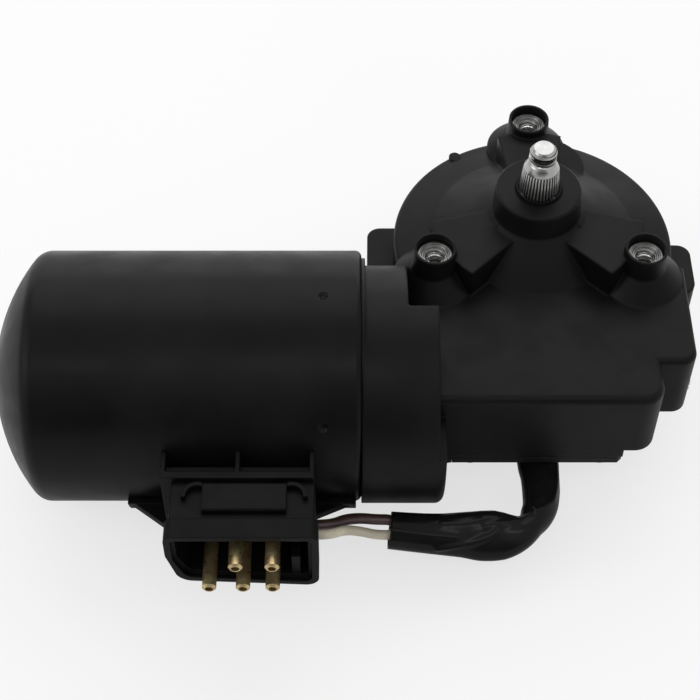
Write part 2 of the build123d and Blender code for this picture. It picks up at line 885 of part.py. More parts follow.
def commutator():
    """Commutator with a slit between its bars."""
    right = commutator_near_x
    left = right - commutator_length
    body = tube_x(commutator_d, armature_shaft_d, left, right)
    r = commutator_d / 2
    slit = block(left + 1.5, right + 1, -commutator_slot / 2, commutator_slot / 2, r - 1.2, r + 1)
    for i in range(commutator_bars):
        body -= Pos(*motor_axis) * Rot(360.0 / commutator_bars * (i + 0.5), 0, 0) * slit
    return body


# ---------------------------------------------------------------- motor can and what it holds
def can_solid(radius, end, dome_r, corner_r, mouth):
    """Solid of revolution with a domed end, for the can's outside or inside."""
    meet = end + dome_r - sqrt(dome_r**2 - radius**2)
    half = asin_ratio(radius, dome_r) / 2
    middle = (end + dome_r - dome_r * cos(half), dome_r * sin(half))
    plane = Plane(origin=motor_axis, x_dir=(1, 0, 0), z_dir=(0, -1, 0))
    dome = ThreePointArc((end, 0), middle, (meet, radius))
    rest = Polyline((meet, radius), (mouth, radius), (mouth, 0), (end, 0))
    body = revolve(plane * make_face([dome, rest]), MOTOR_AXIS)
    corner = [e for e in body.edges().filter_by(GeomType.CIRCLE) if abs(e.radius - radius) < 0.01]
    return fillet(min(corner, key=lambda e: e.center().X), corner_r)


def asin_ratio(opposite, hypotenuse):
    """Angle whose sine is opposite over hypotenuse."""
    return atan(opposite / sqrt(hypotenuse**2 - opposite**2))


def motor_can():
    """Drawn steel can with a domed end, a rounded mouth and staking dimples."""
    outside = can_solid(can_r, can_end_x, can_dome_r, can_corner_r, can_mouth_x)
    mouth = [e for e in outside.edges().filter_by(GeomType.CIRCLE) if abs(e.center().X - can_mouth_x) < 0.01]
    outside = fillet(mouth, can_rim_r)
    inside = can_solid(
        can_r - can_wall, can_end_x + can_wall, can_dome_r - can_wall, can_corner_r - can_wall, can_mouth_x + 1
    )
    shell = outside - inside
    depth = can_wall * 0.5
    dimple = disc(dimple_d, can_r - depth, can_r + 1)
    for i in range(dimple_count):
        angle = 360.0 / dimple_count * i
        place = Pos(can_mouth_x - dimple_from_mouth, motor_axis[1], motor_axis[2])
        shell -= place * Rot(angle, 0, 0) * dimple
    return shell


def magnet(angle):
    """One ferrite arc magnet."""
    outer = can_r - can_wall - magnet_gap
    inner = outer - magnet_thickness
    ring = tube_x(2 * outer, 2 * inner, magnet_near_x - magnet_length, magnet_near_x)
    half = magnet_arc / 2
    reach = 3 * outer
    wedge = Polyline(
        (0, 0),
        (reach * cos(radians(half)), -reach * sin(radians(half))),
        (reach, 0),
        (reach * cos(radians(half)), reach * sin(radians(half))),
        close=True,
    )
    plane = Plane(origin=(0, motor_axis[1], motor_axis[2]), x_dir=(0, 1, 0), z_dir=(1, 0, 0))
    cut = plane * Rot(0, 0, angle) * Pos(0, 0, magnet_near_x - magnet_length - 1) * extrude(
        make_face(wedge), magnet_length + 2
    )
    return ring & cut


def magnet_clip(angle):
    """Spring clip that spreads the two magnets apart."""
    outer = can_r - can_wall - magnet_gap
    free = (180.0 - magnet_arc) / 2
    low = outer - magnet_thickness + 0.3
    half = low * tan(radians(free)) - 0.3
    high = sqrt((outer - 0.3) ** 2 - half**2)
    left = magnet_near_x - magnet_length + clip_inset
    right = magnet_near_x - clip_inset
    clip = block(left, right, -half, half, low, high)
    clip -= block(left - 1, right + 1, -half + clip_sheet, half - clip_sheet, low - 1, high - clip_sheet)
    return Pos(*motor_axis) * Rot(angle, 0, 0) * clip


def plain_bush(outer, left, length):
    """Sintered bush on the armature shaft."""
    return tube_x(outer, armature_shaft_d + 2 * running_clearance, left, left + length)


def rear_retainer():
    """Pressed cup that holds the rear bush in the can's domed end."""
    r = rear_bush_d / 2 + 0.05
    left = rear_bush_left
    right = left + rear_bush_length
    sheet = retainer_sheet
    rim = retainer_d / 2
    seat = can_end_x + can_wall + (can_dome_r - can_wall) - sqrt((can_dome_r - can_wall) ** 2 - rim**2)
    return spun_x(
        [
            (seat + 0.1, rim),
            (seat + 0.1, rim - 3),
            (right, r),
            (right + 0.2, r),
            (right + 0.2, armature_shaft_d / 2 + 1.0),
            (right + 0.2 + sheet, armature_shaft_d / 2 + 1.0),
            (right + 0.2 + sheet, r + sheet),
            (seat + 1.1 + sheet, rim - 2),
            (seat + 1.1, rim),
        ]
    )


def brush_plate():
    """Insulating plate that carries the brush holders."""
    right = brush_plate_right - 7.0
    left = right - brush_plate_thickness
    return tube_x(brush_plate_d, brush_plate_bore_d, left, right)


def at_brush(angle, shape):
    """Turn a shape made above the motor axis to one brush's place."""
    return Pos(*motor_axis) * Rot(angle, 0, 0) * shape


def brush_station():
    """X range of the brushes, on the armature side of their plate."""
    right = brush_plate_right - 7.0 - brush_plate_thickness - 0.8
    return right - brush_width, right


def brush(angle):
    """Carbon brush resting just clear of the commutator."""
    x0, x1 = brush_station()
    low = commutator_d / 2 + brush_gap
    return at_brush(angle, block(x0, x1, -brush_depth / 2, brush_depth / 2, low, low + brush_length))


def brush_holder(angle):
    """Folded brass box round one brush, standing on the plate."""
    x0, x1 = brush_station()
    gap = 0.15
    low = commutator_d / 2 + 2.0
    half = brush_depth / 2 + gap
    wall = holder_wall
    outside = block(x0 - gap - wall, x1 + gap + wall, -half - wall, half + wall, low, low + holder_length)
    inside = block(x0 - gap, x1 + gap, -half, half, low - 1, low + holder_length - wall)
    return at_brush(angle, outside - inside)


def brush_spring(angle):
    """Coil spring behind one brush, as the sleeve that its coils fill."""
    x0, x1 = brush_station()
    low = commutator_d / 2 + brush_gap + brush_length + 0.05
    high = commutator_d / 2 + 2.0 + holder_length - holder_wall - 0.05
    coil = disc(brush_spring_d, low, high) - disc(brush_spring_d - 2 * brush_spring_wire, low - 1, high + 1)
    return at_brush(angle, Pos((x0 + x1) / 2, 0, 0) * coil)


def choke(angle):
    """Suppression choke on the gearbox side of the brush plate."""
    left = brush_plate_right - 7.0 + 0.1
    lying = Pos(left + choke_d / 2, -choke_length / 2, 22.0) * Rot(-90, 0, 0)
    body = lying * Cylinder(choke_d / 2, choke_length, align=(Align.CENTER, Align.CENTER, Align.MIN))
    return at_brush(angle, body)


def thrust_screw():
    """Headless end-play screw, flush with the wing."""
    left = armature_shaft_right + thrust_pad_length
    screw = bar(thrust_screw_d - 0.04, left, wing_right)
    slot = Pos(wing_right, motor_axis[1], motor_axis[2]) * Box(3.0, thrust_screw_d, 1.2)
    return screw - slot


def thrust_pad():
    """Hard pad between the end of the armature shaft and the screw."""
    return bar(thrust_screw_d - 0.6, armature_shaft_right + 0.05, armature_shaft_right + thrust_pad_length)


# ---------------------------------------------------------------- connector
def plug_outline(inset):
    """Section of the socket, with its slanted keying side; X across and Z up, top at zero."""
    half = plug_width / 2 - inset
    top = -inset
    low = -plug_height + inset
    slant = plug_slant
    rise = low + plug_left_rise
    points = [
        (-half, top),
        (half, top),
        (half, low),
        (-half + slant, rise),
        (-half, top - plug_knee_drop),
    ]
    face = make_face(Polyline(*points, close=True))
    face = round_corners(face, points[:2], plug_top_r - 0.6 * inset)
    face = round_corners(face, points[2:3], plug_low_r - 0.6 * inset)
    return round_corners(face, points[3:4], plug_left_r - 0.6 * inset)


def round_corners(face, spots, radius):
    """Round the corners of a flat face that lie at the given places."""
    near = [v for v in face.vertices() if min(abs(v.X - x) + abs(v.Y - y) for x, y in spots) < 0.01]
    return fillet(near, radius)


def plug_prism(inset, front, rear):
    """Socket section drawn out along Y."""
    plane = Plane(origin=(plug_center_x, rear, -plug_top_drop), x_dir=(1, 0, 0), z_dir=(0, -1, 0))
    return plane * extrude(plug_outline(inset), rear - front)


def pin_places():
    """Pin centres: three below and two above, with the upper left place vacant."""
    low = [(x, -pin_low_drop) for x in pin_low_x]
    high = [(x, -pin_high_drop) for x in pin_high_x]
    return low + high


def round_y(diameter, front, rear, place):
    """Cylinder along Y at a place in X and Z."""
    body = Cylinder(diameter / 2, rear - front, align=(Align.CENTER, Align.CENTER, Align.MIN))
    return Pos(place[0], front, place[1]) * Rot(-90, 0, 0) * body


def connector_pin(place):
    """Round hollow-tipped contact pin."""
    pin = round_y(pin_d, pin_tip_y, pin_rear_y, place)
    pin = chamfer(pin.edges().filter_by(GeomType.CIRCLE).sort_by(Axis.Y)[0], 0.5)
    return pin - round_y(pin_tip_hole_d, pin_tip_y - 1, pin_tip_y + pin_tip_hole_depth, place)


def connector_housing():
    """Socket: flanged mouth, floor that holds the pins, and the keying peg."""
    flange_rear = plug_mouth_y + plug_flange_length
    shell = plug_prism(0.0, plug_mouth_y, flange_rear)
    rear_part = plug_prism(plug_flange_step, flange_rear - 0.5, plug_rear_y)
    rear_part -= block(-120, -40, flange_rear, 0, -plug_top_drop - plug_top_step, 10)
    shell += rear_part
    shell -= plug_prism(plug_wall + plug_flange_step, plug_mouth_y - 1, plug_floor_y)
    mouth = plug_prism(plug_wall, plug_mouth_y - 1, plug_mouth_y + 1.6)
    shell -= mouth
    for place in pin_places():
        shell -= round_y(pin_d, plug_floor_y - 1, plug_rear_y + 1, place)
    peg_x = plug_center_x + peg_shift
    low = -plug_top_drop - plug_height + plug_wall + plug_flange_step
    peg = block(peg_x, peg_x + peg_width, plug_mouth_y + 2, plug_floor_y + 0.5, low - 0.5, low + peg_height)
    return shell + peg


def latch_plate():
    """Raised latch plate on top of the socket."""
    top = -plug_top_drop - plug_top_step
    left = plug_center_x + latch_shift - latch_width / 2
    plate = block(left, left + latch_width, latch_front_y, latch_front_y + latch_length, top, top + latch_thickness)
    return chamfer(plate.edges().filter_by(Axis.X).sort_by(Axis.Z)[-2:], 0.5)


def latch_hook(side):
    """Curved finger stop beside the latch plate."""
    top = -plug_top_drop - plug_top_step
    x = side * hook_reach
    w = hook_width
    outer = ThreePointArc((0, 0), (0.75 * x, -0.2 * hook_drop), (x, -hook_drop))
    inner = ThreePointArc((x - side * w, -hook_drop), (0.66 * x, -0.2 * hook_drop - w), (0, -w))
    tip = Line((x, -hook_drop), (x - side * w, -hook_drop))
    face = make_face([outer, tip, inner, Line((0, -w), (0, 0))])
    start = plug_center_x + latch_shift + side * (latch_width / 2 + 0.1)
    return Pos(start, latch_front_y + latch_length, top) * extrude(face, latch_thickness)


def connector_carrier():
    """Carrier between can and socket: saddle on the can, floor with spread wings, cheeks and a rib."""
    outer = can_r + carrier_gap
    left = carrier_center_x - carrier_width / 2
    right = carrier_center_x + carrier_width / 2
    top = -plug_top_drop
    floor_top = top - plug_height + plug_flange_step - 0.1
    cheek_front = plug_mouth_y + plug_flange_length + 0.1
    rear = motor_axis_y
    plan = Polyline(
        (carrier_foot_left, rear),
        (carrier_foot_left, carrier_foot_front),
        (left, carrier_neck_y),
        (carrier_floor_left, carrier_neck_y),
        (carrier_floor_left, cheek_front),
        (carrier_floor_right, cheek_front),
        (carrier_floor_right, plug_rear_y + 0.1),
        (right, plug_rear_y + 0.1),
        (right, carrier_neck_y + 3.5),
        (carrier_foot_right, carrier_foot_front),
        (carrier_foot_right, rear),
        close=True,
    )
    floor = Pos(0, 0, floor_top - carrier_base) * extrude(make_face(plan), carrier_base)
    ledge_front = plug_rear_y + 0.1
    cheeks = block(left, left + carrier_cheek, ledge_front, rear, floor_top - 1, top)
    cheeks += block(right - carrier_cheek, right, ledge_front, rear, floor_top - 1, top)
    ledge_rear = ledge_front + carrier_ledge
    ledge = block(left, right, ledge_front, ledge_rear, floor_top - 1, top)
    ledge += block(left, right, ledge_rear - 0.5, ledge_rear + carrier_step, floor_top - 1, top - carrier_step_drop)
    rib_x = carrier_center_x
    middle = block(rib_x - 0.6, rib_x + 0.6, plug_rear_y + 1, rear, floor_top - 1, top)
    saddle = bar(2 * (outer + carrier_saddle), carrier_foot_left, carrier_foot_right)
    saddle &= block(-130, -40, -130, rear, floor_top - 13.0, floor_top + 0.8)
    body = floor + cheeks + ledge + middle + saddle
    body -= bar(2 * outer, -140, -40)
    return body


# ---------------------------------------------------------------- cable
def run_lengths(points):
    """Lengths of the straight runs between route points."""
    return [(Vector(*b) - Vector(*a)).length for a, b in zip(points, points[1:])]


def corner_radii(points):
    """Largest arc that each corner's runs leave room for."""
    radii = []
    lengths = run_lengths(points)
    for i in range(1, len(points) - 1):
        before = Vector(*points[i]) - Vector(*points[i - 1])
        after = Vector(*points[i + 1]) - Vector(*points[i])
        half_turn = radians(before.get_angle(after)) / 2
        radii.append(0.45 * min(lengths[i - 1], lengths[i]) / tan(half_turn))
    return radii


def cord(name, points, diameter):
    """Round cord along a route of straight runs and tangent arcs."""
    radii = corner_radii(points)
    path = FilletPolyline(*points, radius=radii)
    start = Vector(*points[0])
    direction = (Vector(*points[1]) - start).normalized()
    section = Plane(origin=start, z_dir=direction) * Circle(diameter / 2)
    body = sweep(section, path=path)
    share = body.volume / (pi * diameter**2 / 4 * path.length)
    print(name, "radii", [round(r, 1) for r in radii], "length", round(path.length, 1), "volume share", round(share, 4))
    return body


# ---------------------------------------------------------------- the parts, one node each
def main():
    """Build every node and write it."""
    os.makedirs("parts", exist_ok=True)
    save("gear_housing", gear_housing())
    save("gear_cover", gear_cover())
    save("cover_gasket", gasket())
    save("cover_screws", *[cover_screw(place) for place in cover_screw_places])
    save("output_bush_upper", output_bush(boss_face_rise - seal_room() - output_bush_length))
    save("output_bush_lower", output_bush(-deck_drop - roof_wall))
    save("shaft_seal", shaft_seal())
    save("output_shaft", output_shaft())
    save("retaining_ring", retaining_ring())
    save("thrust_washer", thrust_washer())
    save("worm_wheel", worm_wheel())
    save("park_disc", park_disc())
    save("contact_carrier", contact_carrier())
    save("contact_fingers", *[contact_finger(finger_pitch * k) for k in (-1, 0, 1)])
    save("armature_shaft", armature_shaft())
    save("armature_core", armature_core())
    save("armature_windings", armature_windings())
    save("commutator", commutator())
    save("motor_can", motor_can())
    save("magnets", magnet(90.0), magnet(270.0))
    save("magnet_clips", magnet_clip(90.0), magnet_clip(270.0))
    save("front_bearing", plain_bush(front_bush_d, front_bush_right - front_bush_length, front_bush_length))
    save("worm_end_bearing", plain_bush(end_bush_d, end_bush_left, end_bush_length))
    save("rear_bearing", plain_bush(rear_bush_d, rear_bush_left, rear_bush_length))
    save("rear_bearing_retainer", rear_retainer())
    save("brush_plate", brush_plate())
    save("brushes", *[brush(angle) for angle in brush_angles])
    save("brush_holders", *[brush_holder(angle) for angle in brush_angles])
    save("brush_springs", *[brush_spring(angle) for angle in brush_angles])
    save("suppression_chokes", choke(95.0), choke(215.0))
    save("thrust_screw", thrust_screw())
    save("thrust_pad", thrust_pad())
    save("connector_housing", connector_housing())
    save("connector_pins", *[connector_pin(place) for place in pin_places()])
    save("connector_latch", latch_plate())
    save("latch_hooks", latch_hook(-1), latch_hook(1))
    save("connector_carrier", connector_carrier())
    save("cable_grommet", cable_grommet())
    save("cable_sleeve", cord("sleeve", sleeve_route, sleeve_d))
    save("brown_lead", cord("brown lead", brown_route, lead_d))
    save("white_lead", cord("white lead", white_route, lead_d))
    save("olive_lead", cord("olive lead", olive_route, lead_d))


main()
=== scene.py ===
# %% [markdown]
# # A wiper motor, dressed for the studio
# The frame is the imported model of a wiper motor: a die-cast gearbox, a drawn steel motor can
# across it, a socket on the can and a short cable. Its shapes are already true, so this script
# gives each node the finish of the real piece. It remakes only the pieces whose detail is finer
# than a solid model carries: the splined and threaded spindle, the can's drawn skin, the
# machined seats and threads of the bosses, and the cable.

# %% Load the frame
import math

import bmesh
import bpy
from mathutils import Matrix, Vector


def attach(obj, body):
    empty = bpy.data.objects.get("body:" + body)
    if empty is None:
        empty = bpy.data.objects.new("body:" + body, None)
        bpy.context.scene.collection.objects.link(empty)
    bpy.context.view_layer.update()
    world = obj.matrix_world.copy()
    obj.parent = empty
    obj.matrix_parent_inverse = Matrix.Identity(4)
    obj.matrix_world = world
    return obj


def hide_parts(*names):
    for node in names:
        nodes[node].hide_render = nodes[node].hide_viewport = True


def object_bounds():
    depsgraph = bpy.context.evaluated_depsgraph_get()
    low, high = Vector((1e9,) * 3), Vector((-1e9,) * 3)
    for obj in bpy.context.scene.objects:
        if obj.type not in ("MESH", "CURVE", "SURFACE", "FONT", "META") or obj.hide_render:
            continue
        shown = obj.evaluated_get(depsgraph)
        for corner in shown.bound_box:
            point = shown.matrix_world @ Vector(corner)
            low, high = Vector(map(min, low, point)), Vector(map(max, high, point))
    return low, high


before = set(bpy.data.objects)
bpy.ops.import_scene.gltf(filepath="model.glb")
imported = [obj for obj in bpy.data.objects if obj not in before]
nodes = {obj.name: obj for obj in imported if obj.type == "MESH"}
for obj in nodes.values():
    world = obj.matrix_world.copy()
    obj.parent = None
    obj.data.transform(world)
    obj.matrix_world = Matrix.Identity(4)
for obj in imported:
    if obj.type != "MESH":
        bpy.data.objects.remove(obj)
cad_box = [[float(v) for v in corner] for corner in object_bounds()]
MM = 0.001
MOTOR_Y, MOTOR_Z = -42.0, -28.0
print("nodes", len(nodes), "box", cad_box)

# %% [markdown]
# ## Camera
# The motor is seen from the side of its socket, from about fifty degrees above the floor. A
# long lens keeps the round faces round. Place, tilt and lens alone give the view: there is no
# shift and no depth of field, so any other view can reuse this camera.

# %% Camera
CAMERA_PLACE = (-0.0547, -0.3291, 0.3560)
CAMERA_TILT = 37.67
LENS_MM, SENSOR_MM = 84.857, 36.0


def placed(name, data):
    """Object of some data, linked to the scene."""
    made = bpy.data.objects.new(name, data)
    bpy.context.scene.collection.objects.link(made)
    return made


eye = bpy.data.cameras.new("studio_eye")
eye.lens = LENS_MM
eye.sensor_width = SENSOR_MM
eye.clip_start = 0.01
eye_object = placed("studio_eye", eye)
eye_object.location = CAMERA_PLACE
eye_object.rotation_euler = (math.radians(CAMERA_TILT), 0.0, 0.0)
bpy.context.scene.camera = eye_object
bpy.context.scene.view_settings.view_transform = "Standard"
print("camera looks down by", round(90.0 - CAMERA_TILT, 1), "degrees")

# %% [markdown]
# ## Node trees as sums
# A finish is a small sum: so much dust, so much gloss, more where a mask is white. Wired by
# hand, such a sum is a web of Math nodes that nobody can read. Here a socket is wrapped in a
# class that knows plus, minus, times and power, so the sum is written as a sum. Everything
# else comes from one method, which makes a node, sets it and fills its sockets. The same
# method serves materials, the world and Geometry Nodes.


# %% Sums on sockets
class Field:
    """A socket that adds its own Math node when it is used in a sum."""

    def __init__(self, tree, socket):
        self.tree = tree
        self.socket = socket

    def _sum(self, operation, first, second):
        return self.tree.node("ShaderNodeMath", {"operation": operation}, {0: first, 1: second})

    def __add__(self, other):
        return self._sum("ADD", self, other)

    def __radd__(self, other):
        return self._sum("ADD", other, self)

    def __sub__(self, other):
        return self._sum("SUBTRACT", self, other)

    def __rsub__(self, other):
        return self._sum("SUBTRACT", other, self)

    def __mul__(self, other):
        return self._sum("MULTIPLY", self, other)

    def __rmul__(self, other):
        return self._sum("MULTIPLY", other, self)

    def __truediv__(self, other):
        return self._sum("DIVIDE", self, other)

    def __rtruediv__(self, other):
        return self._sum("DIVIDE", other, self)

    def __pow__(self, other):
        return self._sum("POWER", self, other)

    def low(self, other):
        """The smaller of two values."""
        return self._sum("MINIMUM", self, other)

    def high(self, other):
        """The larger of two values."""
        return self._sum("MAXIMUM", self, other)


# %% A node tree and its one node-making method
class Tree:
    """A node tree of any kind."""

    def __init__(self, tree):
        self.tree = tree

    def node(self, kind, settings=None, inputs=None, output=0):
        """Make a node, set it, fill its sockets and give back one of its outputs."""
        made = self.tree.nodes.new(kind)
        for key, value in (settings or {}).items():
            setattr(made, key, value)
        for key, value in (inputs or {}).items():
            linked = value if isinstance(value, list) else [value]
            if isinstance(linked[0], Field):
                for field in linked:
                    self.tree.links.new(field.socket, made.inputs[key])
            else:
                made.inputs[key].default_value = value
        return Field(self, made.outputs[output])


# %% [markdown]
# ## What a finish is made of
# A finish is one material. Its patterns sit on the piece's own coordinates, so they stay with
# it when it turns. Three tools do most of the work: noise, a ramp that turns noise into a mask
# with soft ends, and a bump whose depth is given in millimetres. Real paint and real moulds
# never leave a knife edge, so a Bevel node rounds the shading of edges that the solid keeps
# sharp, with no change to the mesh.


# %% A finish
class Finish(Tree):
    """One material, built node by node."""

    def __init__(self, name, **constants):
        self.material = bpy.data.materials.new(name)
        self.material.use_nodes = True
        super().__init__(self.material.node_tree)
        self.shader = self.tree.nodes["Principled BSDF"]
        for key, value in constants.items():
            self.shader.inputs[key.replace("_", " ")].default_value = value
        self.place = self.node("ShaderNodeTexCoord", output="Object")

    def feed(self, key, field):
        """Link a field to one socket of the shader, in place of what fed it."""
        self.tree.links.new(field.socket, self.shader.inputs[key])

    def fed(self, key):
        """The field that feeds a socket of the shader so far."""
        return Field(self, self.shader.inputs[key].links[0].from_socket)

    def noise(self, scale, detail=3.0, stretch=None):
        """Noise on the piece's own coordinates, stretched along an axis if asked."""
        where = self.place
        if stretch:
            where = self.node("ShaderNodeMapping", {}, {"Vector": where, "Scale": stretch})
        settings = {"Vector": where, "Scale": scale, "Detail": detail}
        return self.node("ShaderNodeTexNoise", {}, settings)

    def ramp(self, field, low, high, new_low=0.0, new_high=1.0):
        """Map a field's range to another, with soft ends."""
        return self.node(
            "ShaderNodeMapRange",
            {"interpolation_type": "SMOOTHSTEP"},
            {0: field, 1: low, 2: high, 3: new_low, 4: new_high},
        )

    def blend(self, factor, first, second):
        """Mix two colours."""
        colours = [c if isinstance(c, Field) else (*c, 1.0) for c in (first, second)]
        inputs = {0: factor, 6: colours[0], 7: colours[1]}
        return self.node("ShaderNodeMix", {"data_type": "RGBA"}, inputs, 2)

    def relief(self, height, depth_mm, strength=1.0, below=None):
        """Bump of a given depth, on top of another normal if there is one."""
        inputs = {"Height": height, "Distance": depth_mm * MM, "Strength": strength}
        if below is not None:
            inputs["Normal"] = below
        return self.node("ShaderNodeBump", {}, inputs)

    def worn_edges(self, reach_mm):
        """Normal that rounds sharp edges a little."""
        return self.node("ShaderNodeBevel", {"samples": 6}, {"Radius": reach_mm * MM})

    def axes(self):
        """The three coordinates of a place on the piece, in millimetres."""
        split = [self.node("ShaderNodeSeparateXYZ", {}, {0: self.place}, k) for k in range(3)]
        return [part * (1.0 / MM) for part in split]


# %% [markdown]
# ## Floor, world and lamps
# Black paint shows little but what it mirrors, so the studio is designed from the reflections
# back. The floor is pale and keeps the shadow, and it glows a little for the camera and, much
# less, for mirrors: that makes it white without more light on the motor. The world does the
# same, and is darker in front for mirrors, which keeps the walls that face the camera black.
# Four soft lamps draw the highlights: one above and behind, one at the left, a wide low one
# behind for the rims, and a narrow strip in front for the long line on the can.

# %% Floor
FLOOR_REACH = 3.0
FLOOR_GAP = 0.0004
GLOW_SEEN, GLOW_MIRRORED = 0.68, 0.08


def studio_floor():
    """Pale floor under the object, white to the camera where nothing shades it."""
    mesh = bpy.data.meshes.new("studio_floor")
    square = ((-1, -1), (1, -1), (1, 1), (-1, 1))
    corners = [(x * FLOOR_REACH, y * FLOOR_REACH, 0) for x, y in square]
    mesh.from_pydata(corners, [], [(0, 1, 2, 3)])
    mesh.transform(Matrix.Translation((0, 0, cad_box[0][2] - FLOOR_GAP)))
    floor = placed("studio_floor", mesh)
    pale = Finish("floor_pale", Roughness=0.9, Specular_IOR_Level=0.1)
    grain = pale.ramp(pale.noise(6.0, 2.0), 0.3, 0.7)
    pale.feed("Base Color", pale.blend(grain, (0.90, 0.90, 0.90), (0.93, 0.93, 0.93)))
    white = {"Color": (1.0, 1.0, 1.0, 1.0), "Strength": 1.0}
    glow = pale.node("ShaderNodeEmission", {}, white)
    camera = pale.node("ShaderNodeLightPath", output="Is Camera Ray")
    seen = camera.high(pale.node("ShaderNodeLightPath", output="Is Transmission Ray"))
    mirrored = pale.node("ShaderNodeLightPath", output="Is Glossy Ray")
    shown = seen * GLOW_SEEN + mirrored * GLOW_MIRRORED
    paint = Field(pale, pale.shader.outputs[0])
    mixed = pale.node("ShaderNodeMixShader", {}, {0: shown, 1: paint, 2: glow})
    pale.tree.links.new(mixed.socket, pale.tree.nodes["Material Output"].inputs["Surface"])
    mesh.materials.append(pale.material)


studio_floor()
print("floor", round((FLOOR_GAP - cad_box[0][2]) / MM, 2), "mm below the boss faces")

# %% World
WORLD_LIGHT = 0.62
WORLD_SEEN, WORLD_MIRRORED = 0.38, 0.16
FRONT_STARTS, FRONT_FULL, FRONT_DARKER = -0.68, -0.92, -0.68


def studio_world():
    """White to the camera, a softer white as a light, darker in front for mirrors."""
    world = bpy.data.worlds.new("studio_world")
    bpy.context.scene.world = world
    world.use_nodes = True
    sky = Tree(world.node_tree)
    seen = sky.node("ShaderNodeLightPath", output="Is Camera Ray")
    seen = seen + sky.node("ShaderNodeLightPath", output="Is Transmission Ray")
    mirrored = sky.node("ShaderNodeLightPath", output="Is Glossy Ray")
    level = seen * WORLD_SEEN + mirrored * WORLD_MIRRORED + WORLD_LIGHT
    way = sky.node("ShaderNodeTexCoord", output="Generated")
    forward = sky.node("ShaderNodeSeparateXYZ", {}, {0: way}, 1)
    front = sky.node(
        "ShaderNodeMapRange",
        {},
        {0: forward, 1: FRONT_STARTS, 2: FRONT_FULL, 3: 0.0, 4: FRONT_DARKER},
    )
    strength = level + mirrored * front
    background = world.node_tree.nodes["Background"]
    background.inputs["Color"].default_value = (1.0, 1.0, 1.0, 1.0)
    world.node_tree.links.new(strength.socket, background.inputs["Strength"])


studio_world()
print("world as a light", WORLD_LIGHT, "and to the camera", WORLD_LIGHT + WORLD_SEEN)

# %% Lamps
# Place and target in metres, width and height in metres, power in watts.
LAMPS = {
    "lamp_above": ((-0.05, 0.7, 0.95), (-0.05, 0.0, -0.02), (1.4, 0.8), 4.6),
    "lamp_left": ((-1.1, -0.3, 0.7), (-0.05, -0.03, -0.02), (0.8, 0.8), 2.6),
    "lamp_behind": ((0.0, 1.35, 0.38), (0.0, 0.0, 0.0), (2.4, 0.4), 4.2),
    "lamp_strip": ((0.05, -0.62, 1.15), (-0.02, -0.05, -0.03), (1.1, 0.07), 1.5),
}


def softbox(name, place, target, size, power):
    """Rectangular lamp that faces a target."""
    lamp = bpy.data.lights.new(name, "AREA")
    lamp.shape = "RECTANGLE"
    lamp.size, lamp.size_y = size
    lamp.energy = power
    holder = placed(name, lamp)
    holder.location = place
    way = Vector(target) - Vector(place)
    holder.rotation_euler = way.to_track_quat("-Z", "Y").to_euler()


for lamp_name, lamp_setup in LAMPS.items():
    softbox(lamp_name, *lamp_setup)
print("lamps", len(LAMPS), "with", round(sum(setup[3] for setup in LAMPS.values()), 1), "W")

# %% [markdown]
# ## Paint on a casting and on drawn steel
# Both are sprayed with the same black paint. On the casting it follows a slightly pebbled
# skin; on the can the steel under it is smooth. One function makes both, and the size and
# depth of the pebbles are its sizes. Dust changes the colour and the gloss a little, and the
# edges are worn round. The specular level is low, because thick matt paint mirrors less at a
# steep angle than clear plastic does.


# %% Sprayed paint
def dusted(base, times):
    """A colour as dust and handling leave it, a little lighter."""
    return tuple(min(1.0, c * times + 0.002) for c in base)


def sprayed(name, base, gloss, pebble_mm, pebble_depth, edge_mm):
    """Black paint with orange peel, the skin below it and uneven gloss."""
    finish = Finish(name, Specular_IOR_Level=0.12, IOR=1.48)
    dust = finish.ramp(finish.noise(38.0, 5.0), 0.42, 0.75)
    finish.feed("Base Color", finish.blend(dust * 0.7, base, dusted(base, 1.5)))
    patches = finish.ramp(finish.noise(90.0, 3.0), 0.3, 0.7, gloss - 0.05, gloss + 0.06)
    finish.feed("Roughness", patches + dust * 0.06)
    edges = finish.worn_edges(edge_mm)
    skin = finish.relief(finish.noise(1000.0 / pebble_mm, 4.0), pebble_depth, 0.5, edges)
    finish.feed("Normal", finish.relief(finish.noise(260.0, 1.0), 0.03, 0.35, skin))
    return finish


# %% [markdown]
# ## Bare metals
# Turned or drawn metal has fine lines along one way, which stretch its highlights. An
# anisotropic shader could do that, but it needs tangents on every piece. A noise squeezed
# along one axis gives the same lines in the roughness and in a very shallow relief, and it
# survives baking. The three numbers in `lines` are how much each axis is squeezed.


# %% Worked metal
def worked(name, base, gloss, lines=(1.0, 1.0, 14.0)):
    """Bare metal with tool marks and a slightly uneven colour."""
    finish = Finish(name, Metallic=1.0)
    marks = finish.noise(500.0, 2.0, lines)
    stain = finish.ramp(finish.noise(170.0, 4.0), 0.35, 0.7)
    finish.feed("Base Color", finish.blend(stain, base, tuple(c * 0.82 for c in base)))
    finish.feed("Roughness", finish.ramp(marks, 0.2, 0.8, gloss - 0.07, gloss + 0.09))
    finish.feed("Normal", finish.relief(marks, 0.02, 0.4))
    return finish


# %% [markdown]
# ## Steel of the spindle
# The spindle is the brightest piece, and its splines and thread read as dark and light lines
# because oil and dust stay in the grooves and because the grooves lie in shade, so the dark
# colour there is grime and painted shade in one. The lines could be painted along the ridges,
# but they are simpler to place by depth: a spot is dark where it lies nearer to the axis than
# the tips of the ridges there. The tips of the splines follow a cone, so their radius falls with
# the height. The splines are also rougher and less mirror-like than the turned parts.

# %% Spindle steel with grime and painted shade in its grooves
SPLINES_FROM, SPLINES_TO = 6.2, 15.1
TIP_HEIGHT, TIP_RADIUS, TIP_SLOPE = 7.0, 5.80, 0.083
THREAD_FROM, THREAD_TO, THREAD_TIP = 17.7, 22.3, 3.74
# Colour of the grooves: grime and painted shade in one.
GRIME_AND_SHADE = (0.035, 0.034, 0.032)


